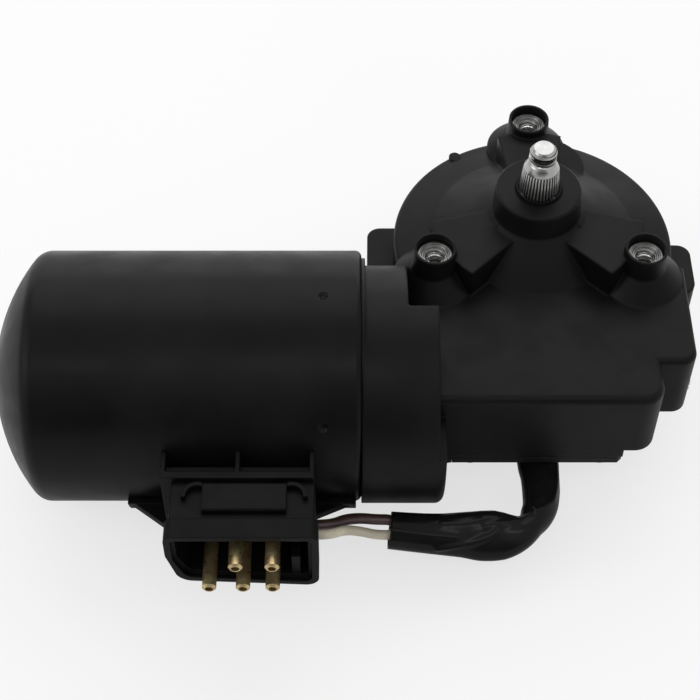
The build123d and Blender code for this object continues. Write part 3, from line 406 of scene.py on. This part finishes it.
def spindle_steel():
    """Bright turned steel, dark between the splines and between the threads."""
    finish = worked("spindle_steel", (0.46, 0.46, 0.45), 0.20)
    x, y, z = finish.axes()
    radius = (x ** 2.0 + y ** 2.0) ** 0.5

    def zone(bottom, top):
        return finish.ramp(z, top, top - 0.2) * finish.ramp(z, bottom, bottom + 0.2)

    tip = TIP_RADIUS - (z - TIP_HEIGHT) * TIP_SLOPE
    spline_zone = zone(SPLINES_FROM, SPLINES_TO)
    below_splines = finish.ramp(tip - radius, 0.06, 0.30) * spline_zone
    below_threads = finish.ramp(radius, THREAD_TIP, THREAD_TIP - 0.16)
    # Grime and painted shade: darker below the tips of the splines and threads, for oil and for
    # the shade in the grooves.
    grime_and_shade = below_splines.high(below_threads * zone(THREAD_FROM, THREAD_TO))
    finish.feed("Base Color", finish.blend(grime_and_shade, finish.fed("Base Color"), GRIME_AND_SHADE))
    finish.feed("Roughness", finish.fed("Roughness") + grime_and_shade * 0.2 + spline_zone * 0.16)
    finish.feed("Metallic", 1.0 - spline_zone * 0.30)
    return finish


# %% [markdown]
# ## Brass of the contacts
# The pins are stamped from brass strip, which tarnishes in soft patches from yellow to copper.
# Long tool lines would look like fibres on pieces this small, so the patches are round noise
# and the relief is almost nothing.


# %% Contact brass
def contact_brass():
    """Yellow brass with coppery tarnish."""
    finish = Finish("contact_brass", Metallic=0.93)
    tarnish = finish.ramp(finish.noise(330.0, 2.0), 0.35, 0.65)
    finish.feed("Base Color", finish.blend(tarnish, (0.60, 0.51, 0.26), (0.50, 0.35, 0.19)))
    finish.feed("Roughness", finish.ramp(finish.noise(420.0, 2.0), 0.3, 0.7, 0.26, 0.38))
    finish.feed("Normal", finish.relief(finish.noise(1500.0, 1.0), 0.002, 0.3))
    return finish


# %% [markdown]
# ## Moulded plastic and rubber
# A mould is spark-eroded, and its fine grain is printed on every moulding: a small noise as a
# relief. Socket and cover are filled plastics that hardly shine, so their specular level is
# low. A soft edge is asked for only where an edge is seen close.


# %% Mouldings
def moulded(name, base, gloss, grain_mm=0.35, depth=0.02, pale=1.35, level=0.5, edge_mm=0.0):
    """Moulded plastic or rubber with a fine spark-eroded grain."""
    finish = Finish(name, Specular_IOR_Level=level)
    wear = finish.ramp(finish.noise(120.0, 4.0), 0.4, 0.72)
    finish.feed("Base Color", finish.blend(wear, base, dusted(base, pale)))
    dull = finish.ramp(finish.noise(60.0, 3.0), 0.3, 0.7, gloss - 0.04, gloss + 0.06)
    finish.feed("Roughness", dull)
    edges = finish.worn_edges(edge_mm) if edge_mm else None
    grain = finish.noise(1000.0 / grain_mm, 2.0)
    finish.feed("Normal", finish.relief(grain, depth, 0.4, edges))
    return finish


# %% [markdown]
# ## Two finishes on one casting
# The boss holes are drilled after painting, so the casting is bare inside them. A second
# material on some faces could do it, but the frame's mesh is loose triangles and its faces are
# best left alone. A mask made of the distance from the nearest boss axis, and of the height,
# turns the paint to metal instead, and a very shallow relief marks the line where paint ends.

# %% Casting paint, bare in the holes
BOSS_CIRCLE_R = 35.0
BOSSES = [
    (BOSS_CIRCLE_R * math.cos(math.radians(a)), BOSS_CIRCLE_R * math.sin(math.radians(a)))
    for a in (90, 210, 330)
]
BARE_RADIUS = 4.92
BARE_TOP, BARE_BOTTOM = -3.74, -14.2
BARE_ALLOY = (0.20, 0.20, 0.195)


def casting():
    """Paint of the gearbox, bare where the boss holes are machined."""
    black = (0.0042, 0.0042, 0.0046)
    finish = sprayed("casting_paint", black, 0.42, pebble_mm=0.55, pebble_depth=0.035, edge_mm=1.1)
    x, y, z = finish.axes()
    near = None
    for boss_x, boss_y in BOSSES:
        gap = ((x - boss_x) ** 2.0 + (y - boss_y) ** 2.0) ** 0.5
        near = gap if near is None else near.low(gap)
    ring = finish.ramp(near, BARE_RADIUS, BARE_RADIUS - 0.08)
    above = finish.ramp(z, BARE_BOTTOM, BARE_BOTTOM + 0.3)
    bare = ring * (above * finish.ramp(z, BARE_TOP, BARE_TOP - 0.1))
    finish.feed("Base Color", finish.blend(bare, finish.fed("Base Color"), BARE_ALLOY))
    finish.feed("Roughness", finish.fed("Roughness") * (1.0 - bare) + bare * 0.30)
    finish.feed("Metallic", bare)
    finish.feed("Normal", finish.relief(bare, 0.05, 0.6, finish.fed("Normal")))
    return finish


print("bosses at", [tuple(round(c, 1) for c in boss) for boss in BOSSES])

# %% [markdown]
# ## Finishes for every node
# A node keeps the shape that the frame gives it and takes its finish by name. Two tables do
# it: one makes each finish once, with its colour and gloss, the other says which nodes wear
# it. Colours are linear values as paint and metal have them, dark for black paint and never
# quite grey for bare metal.

# %% Make the finishes
finishes = {
    "casting": casting(),
    "can": sprayed(
        "can_paint", (0.0034, 0.0034, 0.0038), 0.36, pebble_mm=0.9, pebble_depth=0.012, edge_mm=0.4
    ),
    "bright_steel": worked("bright_steel", (0.62, 0.62, 0.61), 0.27),
    "spindle": spindle_steel(),
    "seat": worked("machined_seat", (0.23, 0.23, 0.225), 0.34, lines=(1.0, 1.0, 6.0)),
    "zinc": worked("zinc_plate", (0.60, 0.60, 0.56), 0.38, lines=(1.0, 1.0, 1.0)),
    "laminations": worked("laminations", (0.36, 0.36, 0.37), 0.42, lines=(30.0, 1.0, 1.0)),
    "brass": contact_brass(),
    "bronze": worked("sintered_bronze", (0.52, 0.38, 0.20), 0.48, lines=(1.0, 1.0, 1.0)),
    "copper": worked("enamelled_copper", (0.66, 0.28, 0.12), 0.30, lines=(12.0, 1.0, 1.0)),
    "ferrite": moulded("ferrite", (0.045, 0.046, 0.05), 0.62, grain_mm=0.2, depth=0.03),
    "carbon": moulded("brush_carbon", (0.03, 0.03, 0.032), 0.7, grain_mm=0.15, depth=0.03),
    "wheel": moulded(
        "wheel_acetal", (0.78, 0.76, 0.68), 0.42, grain_mm=0.5, depth=0.01, pale=1.05
    ),
    "plate": moulded("plate_phenolic", (0.16, 0.085, 0.04), 0.5, grain_mm=0.6, pale=1.2),
    "cover": moulded(
        "cover_moulding", (0.006, 0.006, 0.006), 0.5,
        grain_mm=0.3, depth=0.03, pale=1.3, level=0.16, edge_mm=0.5,
    ),
    "connector": moulded(
        "connector_moulding", (0.0032, 0.0032, 0.0032), 0.46,
        grain_mm=0.28, pale=1.3, level=0.085, edge_mm=0.5,
    ),
    "rubber": moulded(
        "black_rubber", (0.006, 0.006, 0.006), 0.62,
        grain_mm=0.25, depth=0.03, pale=1.4, level=0.12,
    ),
}
print("finishes", len(finishes))

# %% Give them out
given = {
    "casting": ["gear_housing"],
    "can": ["motor_can"],
    "bright_steel": [
        "output_shaft", "armature_shaft", "retaining_ring", "thrust_washer", "thrust_pad",
        "magnet_clips", "brush_springs",
    ],
    "zinc": ["cover_screws", "thrust_screw", "rear_bearing_retainer"],
    "laminations": ["armature_core"],
    "brass": ["connector_pins", "contact_fingers", "park_disc", "brush_holders"],
    "bronze": [
        "output_bush_upper", "output_bush_lower", "front_bearing", "rear_bearing",
        "worm_end_bearing",
    ],
    "copper": ["armature_windings", "commutator"],
    "ferrite": ["magnets", "suppression_chokes"],
    "carbon": ["brushes"],
    "wheel": ["worm_wheel"],
    "plate": ["brush_plate", "contact_carrier"],
    "cover": ["gear_cover"],
    "connector": ["connector_housing", "connector_carrier", "connector_latch", "latch_hooks"],
    "rubber": ["shaft_seal", "cable_grommet", "cover_gasket"],
}
for finish_name, members in given.items():
    for member in members:
        slots = nodes[member].data.materials
        slots.clear()
        slots.append(finishes[finish_name].material)
dressed = {member for members in given.values() for member in members}
print("nodes without a finish yet", sorted(set(nodes) - dressed))

# %% [markdown]
# ## Turned pieces
# The can, the spindle and the boss seats are turned about a line, so a profile of stations and
# radii, spun round in mesh code, gives their surface. A Screw modifier could spin it, but mesh
# code lets a few turns be added just where a detail needs them. Each station also carries the
# radius of its corner, which is rounded in the profile itself: a Bevel modifier would round
# every edge alike.


# %% Profile with rounded corners
def rounded(stations, steps=6):
    """Profile from (station, radius, corner radius), with arcs for the rounded corners."""
    spots = [Vector(station[:2]) for station in stations]
    out = [spots[0]]
    for before, corner, after, station in zip(spots, spots[1:], spots[2:], stations[1:]):
        to_before = (before - corner).normalized()
        to_after = (after - corner).normalized()
        half = to_before.angle(to_after) / 2
        radius = station[2]
        if radius <= 0 or half > math.radians(89.5):
            out.append(corner)
            continue
        cut = radius / math.tan(half)
        centre = corner + (to_before + to_after).normalized() * (radius / math.sin(half))
        first, last = corner + to_before * cut - centre, corner + to_after * cut - centre
        sweep = first.angle(last)
        for k in range(steps + 1):
            t = k / steps
            arm = first * math.sin((1 - t) * sweep) + last * math.sin(t * sweep)
            out.append(centre + arm / math.sin(sweep))
    out.append(spots[-1])
    return [(p.x, p.y) for p in out]


# %% Lathe
def skinned(name, shape, finish):
    """Object from a closed bmesh, its faces turned outwards and its caps left flat."""
    bmesh.ops.recalc_face_normals(shape, faces=shape.faces)
    for face in shape.faces:
        face.smooth = len(face.verts) <= 4
    mesh = bpy.data.meshes.new(name)
    shape.to_mesh(mesh)
    shape.free()
    mesh.materials.append(finish.material)
    return placed(name, mesh)


def turned(name, profile, along_x, segments, finish, more_turns=()):
    """Closed surface of revolution from (station, radius) in millimetres."""
    turns = [2 * math.pi * k / segments for k in range(segments)]
    turns = sorted({round((t + math.tau) % math.tau, 6) for t in [*turns, *more_turns]})
    shape = bmesh.new()
    rings = []
    for station, radius in profile:
        at_pole = radius < 1e-6
        ring = []
        for turn in turns[:1] if at_pole else turns:
            u, v = radius * math.cos(turn), radius * math.sin(turn)
            spot = (station, MOTOR_Y + u, MOTOR_Z + v) if along_x else (u, v, station)
            ring.append(shape.verts.new([c * MM for c in spot]))
        rings.append(ring)
    for near, far in zip(rings, rings[1:]):
        for k in range(len(turns)):
            n = (k + 1) % len(turns)
            four = (near[k % len(near)], near[n % len(near)], far[n % len(far)], far[k % len(far)])
            corners = list(dict.fromkeys(four))
            if len(corners) > 2:
                shape.faces.new(corners)
    return skinned(name, shape, finish)


def crisp(piece, degrees=38.0):
    """Smooth shading that keeps edges sharper than an angle."""
    shape = bmesh.new()
    shape.from_mesh(piece.data)
    for edge in shape.edges:
        if len(edge.link_faces) == 2:
            edge.smooth = edge.calc_face_angle() < math.radians(degrees)
    shape.to_mesh(piece.data)
    shape.free()


# %% [markdown]
# ## The motor can
# The can is one deep-drawn cup of steel: a shallow dome, a rounded corner, a straight wall and
# a rim rolled over the collar. Near the mouth a punch has pushed the wall into the collar at
# six points, and that holds the motor together. Cutting spheres out of the wall would leave
# sharp rims where sheet metal only sinks, so the marks are pushed in by moving the vertices.
# For that, extra rings and extra turns are laid close together where the marks come.

# %% Profile of the can
CAN_R, CAN_WALL = 36.25, 2.0
CAN_END_X, CAN_MOUTH_X = -156.4, -51.4
DOME_R, CORNER_R, RIM_R = 55.0, 5.0, 1.9
MARK_X = -62.0


def dome(apex, sphere_r, reach, count=14):
    """Points of the domed end from its middle out to a radius."""
    spread = math.asin(reach / sphere_r)
    turns = [spread * k / count for k in range(count + 1)]
    return [(apex + sphere_r * (1 - math.cos(t)), sphere_r * math.sin(t)) for t in turns]


outside = dome(CAN_END_X, DOME_R, 33.2)
edge_x = CAN_END_X + DOME_R - math.sqrt(DOME_R**2 - CAN_R**2)
skin = outside[:-1] + rounded(
    [
        (*outside[-1], 0.0), (edge_x, CAN_R, CORNER_R), (MARK_X - 2.2, CAN_R, 0.0),
        (MARK_X + 2.2, CAN_R, 0.0), (-55.0, CAN_R, 0.0), (CAN_MOUTH_X, CAN_R, RIM_R),
        (CAN_MOUTH_X, CAN_R - CAN_WALL, 0.0),
    ],
    steps=7,
)
inside = [(CAN_MOUTH_X, 34.26), (-140.0, CAN_R - CAN_WALL)]
inside += [(x + CAN_WALL, r * 0.95) for x, r in reversed(dome(CAN_END_X, DOME_R, 32.6, 8))]
print("can length", CAN_MOUTH_X - CAN_END_X, "and diameter", 2 * CAN_R)

# %% Turn the can with its staking marks
MARK_COUNT, MARK_R, MARK_DEPTH, MARK_SLOPE = 6, 1.4, 0.7, 0.9
mark_turns = [math.radians(90.0 + 360.0 / MARK_COUNT * k) for k in range(MARK_COUNT)]
close_turns = [turn + math.radians(0.25 * k) for turn in mark_turns for k in range(-11, 12)]
close_rings = [(MARK_X - 1.8 + 0.2 * k, CAN_R) for k in range(19)]
after = next(i for i, (x, _) in enumerate(skin) if x > MARK_X + 2.0)
skin[after:after] = close_rings


def push_marks(can):
    """Push the wall in at each mark, deepest in its middle."""
    for vert in can.data.vertices:
        x, across, over = vert.co.x / MM, vert.co.y / MM - MOTOR_Y, vert.co.z / MM - MOTOR_Z
        radius, turn = math.hypot(across, over), math.atan2(over, across)
        if abs(x - MARK_X) > 2.0 or radius < CAN_R - 0.25:
            continue
        apart = min(abs(math.remainder(turn - mark, math.tau)) for mark in mark_turns) * radius
        inwards = (MARK_R - math.hypot(x - MARK_X, apart)) / MARK_SLOPE
        left = 1 - max(0.0, min(1.0, inwards)) ** 0.8 * MARK_DEPTH / radius
        vert.co.y = (MOTOR_Y + across * left) * MM
        vert.co.z = (MOTOR_Z + over * left) * MM


can_skin = turned("can_skin", skin + inside, True, 192, finishes["can"], close_turns)
push_marks(can_skin)
crisp(can_skin)
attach(can_skin, "housing")
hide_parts("motor_can")
print("can rings", len(skin) + len(inside))

# %% [markdown]
# ## Repeats made with Geometry Nodes
# The spindle's splines repeat round it and its thread follows a helix, so both are rules, and
# Geometry Nodes hold them with named sizes. The tree is built in the script and run once on an
# empty object. Its result is kept as a plain mesh, because that is what an export can carry.


# %% A rule with named sizes
class Rule(Tree):
    """A Geometry Nodes tree with named inputs."""

    def __init__(self, name, sizes):
        super().__init__(bpy.data.node_groups.new(name, "GeometryNodeTree"))
        face = self.tree.interface
        face.new_socket("Geometry", in_out="OUTPUT", socket_type="NodeSocketGeometry")
        self.sizes = {}
        for key, value in sizes.items():
            kind = "NodeSocketInt" if isinstance(value, int) else "NodeSocketFloat"
            socket = face.new_socket(key, in_out="INPUT", socket_type=kind)
            socket.default_value = value
            self.sizes[key] = (socket.identifier, value)
        self.entry = self.tree.nodes.new("NodeGroupInput")

    def size(self, key):
        """A named size as a field."""
        return Field(self, self.entry.outputs[key])

    def close(self, geometry, finish):
        """End in Realize Instances and Set Material."""
        whole = self.node("GeometryNodeRealizeInstances", {}, {"Geometry": geometry})
        coat = {"Geometry": whole, "Material": finish.material}
        coated = self.node("GeometryNodeSetMaterial", {}, coat)
        out = self.tree.nodes.new("NodeGroupOutput")
        self.tree.links.new(coated.socket, out.inputs[0])

    def grow(self, name):
        """Run the tree on an empty object and keep the result as a plain mesh."""
        holder = placed(name, bpy.data.meshes.new(name))
        modifier = holder.modifiers.new("rule", "NODES")
        modifier.node_group = self.tree
        for identifier, value in self.sizes.values():
            modifier[identifier] = value
        graph = bpy.context.evaluated_depsgraph_get()
        plain = bpy.data.meshes.new_from_object(holder.evaluated_get(graph))
        holder.modifiers.remove(modifier)
        holder.data = plain
        print(name, "faces", len(plain.polygons))
        return holder


# %% [markdown]
# ## Splines on the taper
# The crank is pulled down on a splined taper, whose sharp ridges bite into it so that it cannot
# slip. They could be cut with a boolean, one groove at a time. It is simpler to make one ridge,
# a thin four-sided bar along the cone with its inner half buried in the steel, and to lay it
# out as many times as the spindle has splines, each turned a little further.


# %% Splines
def splines(finish):
    """Ridges laid round a cone."""
    rule = Rule("taper_splines", {
        "Count": 36, "Foot radius": 5.47 * MM, "Top radius": 4.78 * MM,
        "Foot height": 6.6 * MM, "Top height": 15.1 * MM, "Ridge": 0.37 * MM,
    })
    foot, top = [
        rule.node("ShaderNodeCombineXYZ", {},
                  {"X": rule.size(end + " radius"), "Z": rule.size(end + " height")})
        for end in ("Foot", "Top")
    ]
    line = rule.node("GeometryNodeCurvePrimitiveLine", {}, {"Start": foot, "End": top})
    shape = {"Resolution": 4, "Radius": rule.size("Ridge")}
    section = rule.node("GeometryNodeCurvePrimitiveCircle", {}, shape)
    bar = {"Curve": line, "Profile Curve": section, "Fill Caps": True}
    ridge = rule.node("GeometryNodeCurveToMesh", {}, bar)
    row = {"Count": rule.size("Count"), "Offset": (0.0, 0.0, 0.0)}
    spots = rule.node("GeometryNodeMeshLine", {}, row)
    index = rule.node("GeometryNodeInputIndex")
    turn = index * (2 * math.pi / rule.size("Count"))
    spin = rule.node("ShaderNodeCombineXYZ", {}, {"Z": turn})
    laid = rule.node(
        "GeometryNodeInstanceOnPoints", {}, {"Points": spots, "Instance": ridge, "Rotation": spin}
    )
    rule.close(laid, finish)
    return rule.grow("spindle_splines")


# %% [markdown]
# ## Threads
# A thread is a triangle driven along a spiral. A solid modeller cuts it from the bar, which is
# slow and makes many faces. Here the bar keeps the root diameter and the ridge is laid on it:
# a small four-sided section, half of it buried, shows just the thread's crest and flanks. The
# same rule serves the spindle's end and, at three places at once, the boss holes.


# %% A thread on a spiral
def thread(name, finish, places, radius, pitch, length, bottom, depth):
    """Helical ridge, laid at one or more places."""
    rule = Rule(name + "_rule", {
        "Radius": radius * MM, "Length": length * MM, "Turns": length / pitch,
        "Depth": depth * MM,
    })
    spiral = rule.node("GeometryNodeCurveSpiral", {}, {
        "Resolution": 40, "Rotations": rule.size("Turns"), "Start Radius": rule.size("Radius"),
        "End Radius": rule.size("Radius"), "Height": rule.size("Length"),
    })
    shape = {"Resolution": 4, "Radius": rule.size("Depth")}
    section = rule.node("GeometryNodeCurvePrimitiveCircle", {}, shape)
    bar = {"Curve": spiral, "Profile Curve": section}
    ridge = rule.node("GeometryNodeCurveToMesh", {}, bar)
    moved = []
    for x, y in places:
        move = {"Geometry": ridge, "Translation": (x * MM, y * MM, bottom * MM)}
        moved.append(rule.node("GeometryNodeTransform", {}, move))
    rule.close(rule.node("GeometryNodeJoinGeometry", {}, {0: moved}), finish)
    return rule.grow(name)


# %% [markdown]
# ## The spindle
# It is turned from bright steel: a plain journal, a taper for the crank, a shoulder and a
# threaded end with a chamfer. The lathe gives the bar, the two rules give the ridges, and all
# three ride the output body, so that they turn with the wheel.

# %% Turn the spindle and lay its ridges
# Height, radius and corner radius.
SPINDLE_PROFILE = [
    (-38.6, 0.0, 0.0), (-38.6, 5.2, 0.0), (-37.8, 6.0, 0.3), (5.9, 6.0, 0.2), (6.2, 5.2, 0.1),
    (14.9, 4.5, 0.0), (15.2, 5.05, 0.1), (17.3, 4.0, 0.2), (17.9, 3.5, 0.2), (22.0, 3.5, 0.2),
    (23.0, 2.8, 0.2), (23.0, 0.0, 0.0),
]
steel = finishes["spindle"]
spindle = turned("spindle", rounded(SPINDLE_PROFILE, 3), False, 96, steel)
crisp(spindle, 32.0)
ridges = splines(steel)
helix = thread(
    "spindle_helix", steel, [(0.0, 0.0)],
    radius=3.50, pitch=1.25, length=4.4, bottom=17.85, depth=0.46,
)
for part in (ridges, helix):
    crisp(part, 50.0)
for part in (spindle, ridges, helix):
    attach(part, "output")
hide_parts("output_shaft")
print("spindle top", SPINDLE_PROFILE[-1][0], "mm above the boss faces")

# %% [markdown]
# ## Seats and threads of the bosses
# A stepped cutter has faced each boss and left fine ridges on the slope down to the hole. The
# solid keeps only a plain recess there. A turned ring with those ridges in its profile is laid
# into each boss, in the dull grey of freshly cut alloy, and the threads follow below it.

# %% Machined seats and threads of the three bosses
# Height and radius, from the hole up the ridged slope, over the flat face and back below.
SEAT_PROFILE = [
    (-3.95, 2.6), (-3.55, 2.95), (-3.6, 3.2), (-3.2, 3.4), (-3.25, 3.7), (-2.85, 3.95),
    (-2.9, 4.25), (-2.62, 4.4), (-2.62, 4.95), (-2.8, 5.3), (-3.78, 5.3), (-3.84, 4.76),
    (-5.78, 2.56), (-5.78, 2.5), (-4.1, 2.5), (-3.95, 2.6),
]
SEAT_CORNER = 0.05
seat_skin = rounded([(height, radius, SEAT_CORNER) for height, radius in SEAT_PROFILE], 2)
for number, (boss_x, boss_y) in enumerate(BOSSES, 1):
    seat = turned(f"boss_seat_{number}", seat_skin, False, 64, finishes["seat"])
    seat.data.transform(Matrix.Translation((boss_x * MM, boss_y * MM, 0.0)))
    crisp(seat, 25.0)
    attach(seat, "housing")
hole_threads = thread(
    "boss_threads", finishes["bright_steel"], BOSSES,
    radius=2.55, pitch=1.0, length=9.4, bottom=-13.4, depth=0.34,
)
crisp(hole_threads, 50.0)
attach(hole_threads, "housing")
print("seats", len(BOSSES), "with faces at", SEAT_PROFILE[7][0], "mm")

# %% [markdown]
# ## The cable
# A short soft sleeve leaves a rubber grommet under the gearbox, bends round the case and lets
# out its leads before the socket. A curve with a round bevel could be the whole sleeve, but
# soft vinyl is never round: it flattens where it bends and creases on the inside. So only the
# middle line is a curve, and the sleeve is a tube whose section changes along it. The leads
# are plain round wires on smooth curves of their own.

# %% Routes, in millimetres
sleeve_route = [
    (1.2, -50.0, -49.9), (1.2, -58.6, -49.9), (1.1, -67.6, -49.9), (0.2, -76.6, -49.9),
    (-5.4, -83.0, -49.8), (-14.4, -84.4, -49.2), (-24.0, -84.0, -48.3), (-33.8, -83.6, -47.1),
    (-43.4, -82.9, -46.2),
]
lead_routes = {
    "brown": [(-43.4, -81.4, -43.8), (-47.4, -81.5, -43.6), (-51.6, -81.8, -42.4),
              (-56.0, -83.7, -40.2), (-60.4, -87.0, -37.8), (-64.1, -87.0, -37.8)],
    "white": [(-43.4, -84.9, -46.1), (-47.4, -85.0, -45.8), (-51.6, -86.2, -42.0),
              (-56.0, -88.1, -38.0), (-60.4, -91.3, -35.4), (-64.1, -91.3, -35.4)],
    "olive": [(-43.4, -79.5, -46.2), (-47.4, -79.6, -46.0), (-51.6, -79.5, -45.4),
              (-56.0, -81.0, -43.6), (-60.1, -84.4, -41.2), (-64.4, -84.4, -41.2)],
}


# %% Smooth curve through a route
def smooth_curve(name, route, bevel=0.0, resolution=12):
    """NURBS curve with the route's points as its control points."""
    curve = bpy.data.curves.new(name, "CURVE")
    curve.dimensions = "3D"
    curve.resolution_u = resolution
    curve.bevel_depth = bevel * MM
    curve.bevel_resolution = 5
    curve.use_fill_caps = bevel > 0
    line = curve.splines.new("NURBS")
    line.points.add(len(route) - 1)
    for point, spot in zip(line.points, route):
        point.co = (*[c * MM for c in spot], 1.0)
    line.order_u = 3
    line.use_endpoint_u = True
    return placed(name, curve)


def curve_points(route):
    """Points along the smooth curve of a route."""
    curve = smooth_curve("sleeve_line", route, resolution=24)
    graph = bpy.context.evaluated_depsgraph_get()
    mesh = bpy.data.meshes.new_from_object(curve.evaluated_get(graph))
    points = [v.co.copy() for v in mesh.vertices]
    bpy.data.meshes.remove(mesh)
    bpy.data.objects.remove(curve)
    return points


# %% [markdown]
# ## Form of the sleeve
# Where the sleeve bends it turns from a tube into a flat oval and leans over, and then slowly
# rounds again towards its cut end. A short table holds this form at a few shares of the run,
# and the values between are read off and smoothed. The creases are lines on the sleeve, given
# by a share of the run and an angle round the section. Near a line the wall rises by a bell
# curve. A bump map could fake that, but the creases show on the outline, so they are geometry.

# %% Form and creases
# Share of the run, half width, half height, tilt in degrees, shift to the inside of the bend.
SLEEVE_FORM = [
    (0.00, 6.4, 5.4, 0.0, 0.55), (0.10, 5.95, 5.4, 0.0, 0.45), (0.143, 5.65, 5.4, 0.0, 0.15),
    (0.22, 5.5, 5.4, 0.0, 0.0), (0.286, 5.2, 5.4, 4.0, 0.05), (0.36, 4.8, 5.2, 10.0, 0.5),
    (0.43, 3.95, 5.0, 18.0, 0.45), (0.47, 4.5, 4.8, 24.0, 0.5), (0.51, 5.4, 4.6, 30.0, 0.7),
    (0.585, 6.8, 4.1, 36.0, 0.6), (0.63, 7.25, 3.9, 38.0, 0.8), (0.69, 7.2, 3.9, 38.0, 0.7),
    (0.765, 6.5, 4.1, 38.0, 0.6), (0.853, 5.95, 4.5, 36.0, 0.15),
    (0.92, 5.65, 4.7, 34.0, -0.1), (1.00, 5.36, 4.9, 30.0, -0.3),
]
FORM_ROUNDS = 6
# Places as (share, degrees round the section), then height and half width in millimetres.
CREASES = [
    ([(0.80, 93.0), (1.00, 90.0)], 0.42, 0.65),
    ([(0.87, 133.0), (0.80, 118.0), (0.73, 104.0), (0.66, 88.0), (0.62, 74.0)], 0.55, 0.8),
    ([(0.68, 66.0), (0.585, 56.0), (0.50, 48.0), (0.44, 52.0), (0.39, 72.0)], 0.45, 0.8),
    ([(0.39, 72.0), (0.355, 98.0), (0.30, 126.0), (0.20, 142.0), (0.10, 150.0)], 0.55, 1.0),
    ([(0.86, 58.0), (0.76, 60.0), (0.70, 50.0)], 0.22, 0.9),
]
RUN_MM, DEGREE_MM = 72.0, 0.1


def unrolled(share, degrees):
    """A place on the sleeve, in millimetres along it and round it."""
    return Vector((share * RUN_MM, degrees * DEGREE_MM))


def sleeve_form(share):
    """Half width, half height, tilt and shift at one place of the run."""
    for near, far in zip(SLEEVE_FORM, SLEEVE_FORM[1:]):
        if share <= far[0]:
            t = (share - near[0]) / (far[0] - near[0])
            return [a + (b - a) * t for a, b in zip(near[1:], far[1:])]
    return list(SLEEVE_FORM[-1][1:])


def crease_height(share, degrees):
    """Height of the creases at a place, from its distance to each crease's line."""
    here = unrolled(share, degrees)
    total = 0.0
    for line, height, reach in CREASES:
        spots = [unrolled(*spot) for spot in line]
        gaps = []
        for start, stop in zip(spots, spots[1:]):
            part = stop - start
            t = max(0.0, min(1.0, (here - start).dot(part) / part.length_squared))
            gaps.append((here - (start + part * t)).length)
        total += height * math.exp(-((min(gaps) / reach) ** 2))
    return total


print("creases", len(CREASES))

# %% Soft tube
AROUND = 72
BORE_RINGS = 24


def smoothed_forms(count):
    """The form at each of the tube's rings, with its steps smoothed away."""
    forms = [sleeve_form(i / (count - 1)) for i in range(count)]
    for _ in range(FORM_ROUNDS):
        middle = [
            [(a + 2 * b + c) / 4 for a, b, c in zip(*forms[i - 1:i + 2])]
            for i in range(1, count - 1)
        ]
        forms = [forms[0], *middle, forms[-1]]
    return forms


def tube_ring(spot, ahead, form, share):
    """Points of one flattened, tilted and creased section."""
    wide, high, tilt, shift = form
    side = ahead.cross(Vector((0, 0, 1))).normalized()
    up = side.cross(ahead)
    lean = math.radians(tilt)
    across = side * math.cos(lean) + up * math.sin(lean)
    over = up * math.cos(lean) - side * math.sin(lean)
    ring = []
    for k in range(AROUND):
        turn = 2 * math.pi * k / AROUND
        arm = across * math.cos(turn) * wide + over * math.sin(turn) * high
        arm += arm.normalized() * crease_height(share, math.degrees(turn))
        ring.append(spot + (arm + across * shift) * MM)
    return ring


def bore_ring(ring, wall):
    """The same section, smaller by the wall."""
    middle = sum(ring, Vector()) / len(ring)
    return [middle + (p - middle) * (1 - wall * MM / (p - middle).length) for p in ring]


def soft_tube(name, points, wall, finish):
    """Tube whose flattened section changes along it, open at its far end."""
    last = len(points) - 1
    rings = []
    for i, (spot, form) in enumerate(zip(points, smoothed_forms(len(points)))):
        ahead = (points[min(i + 1, last)] - points[max(i - 1, 0)]).normalized()
        rings.append(tube_ring(spot, ahead, form, i / last))
    rings += [bore_ring(ring, wall) for ring in reversed(rings[-BORE_RINGS:])]
    shape = bmesh.new()
    loops = [[shape.verts.new(p) for p in ring] for ring in rings]
    for near, far in zip(loops, loops[1:]):
        for k in range(AROUND):
            n = (k + 1) % AROUND
            shape.faces.new((near[k], near[n], far[n], far[k]))
    shape.faces.new(loops[0])
    shape.faces.new(loops[-1])
    return skinned(name, shape, finish)


# %% [markdown]
# ## Laying the cable
# The sleeve's vinyl is smoother and glossier than the mouldings, with a slow waviness in place
# of a grain. The leads start inside it, where they touch, and fan out to their own routes; a
# start point hidden in the bore keeps their ends out of sight.

# %% Lay the cable
SLEEVE_WALL = 0.8
LEAD_RADIUS = 1.38
LEADS_START = (-40.0, -82.4, -46.0)
INTO_SLEEVE = 1.2
vinyl = moulded(
    "sleeve_vinyl", (0.0062, 0.0062, 0.0062), 0.20, grain_mm=2.5, depth=0.06, pale=1.2, level=0.12
)
sleeve_points = curve_points(sleeve_route)
sleeve = soft_tube("sleeve", sleeve_points, SLEEVE_WALL, vinyl)
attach(sleeve, "housing")
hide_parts("cable_sleeve")
lead_colours = {
    "brown": (0.052, 0.026, 0.027),
    "white": (0.47, 0.43, 0.33),
    "olive": (0.075, 0.060, 0.022),
}
for colour, route in lead_routes.items():
    mouth = (route[0][0] + INTO_SLEEVE, *route[0][1:])
    lead = smooth_curve(colour + "_wire", [LEADS_START, mouth, *route[1:]], LEAD_RADIUS)
    insulation = moulded(colour + "_insulation", lead_colours[colour], 0.36, grain_mm=1.2)
    lead.data.materials.append(insulation.material)
    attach(lead, "housing")
    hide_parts(colour + "_lead")
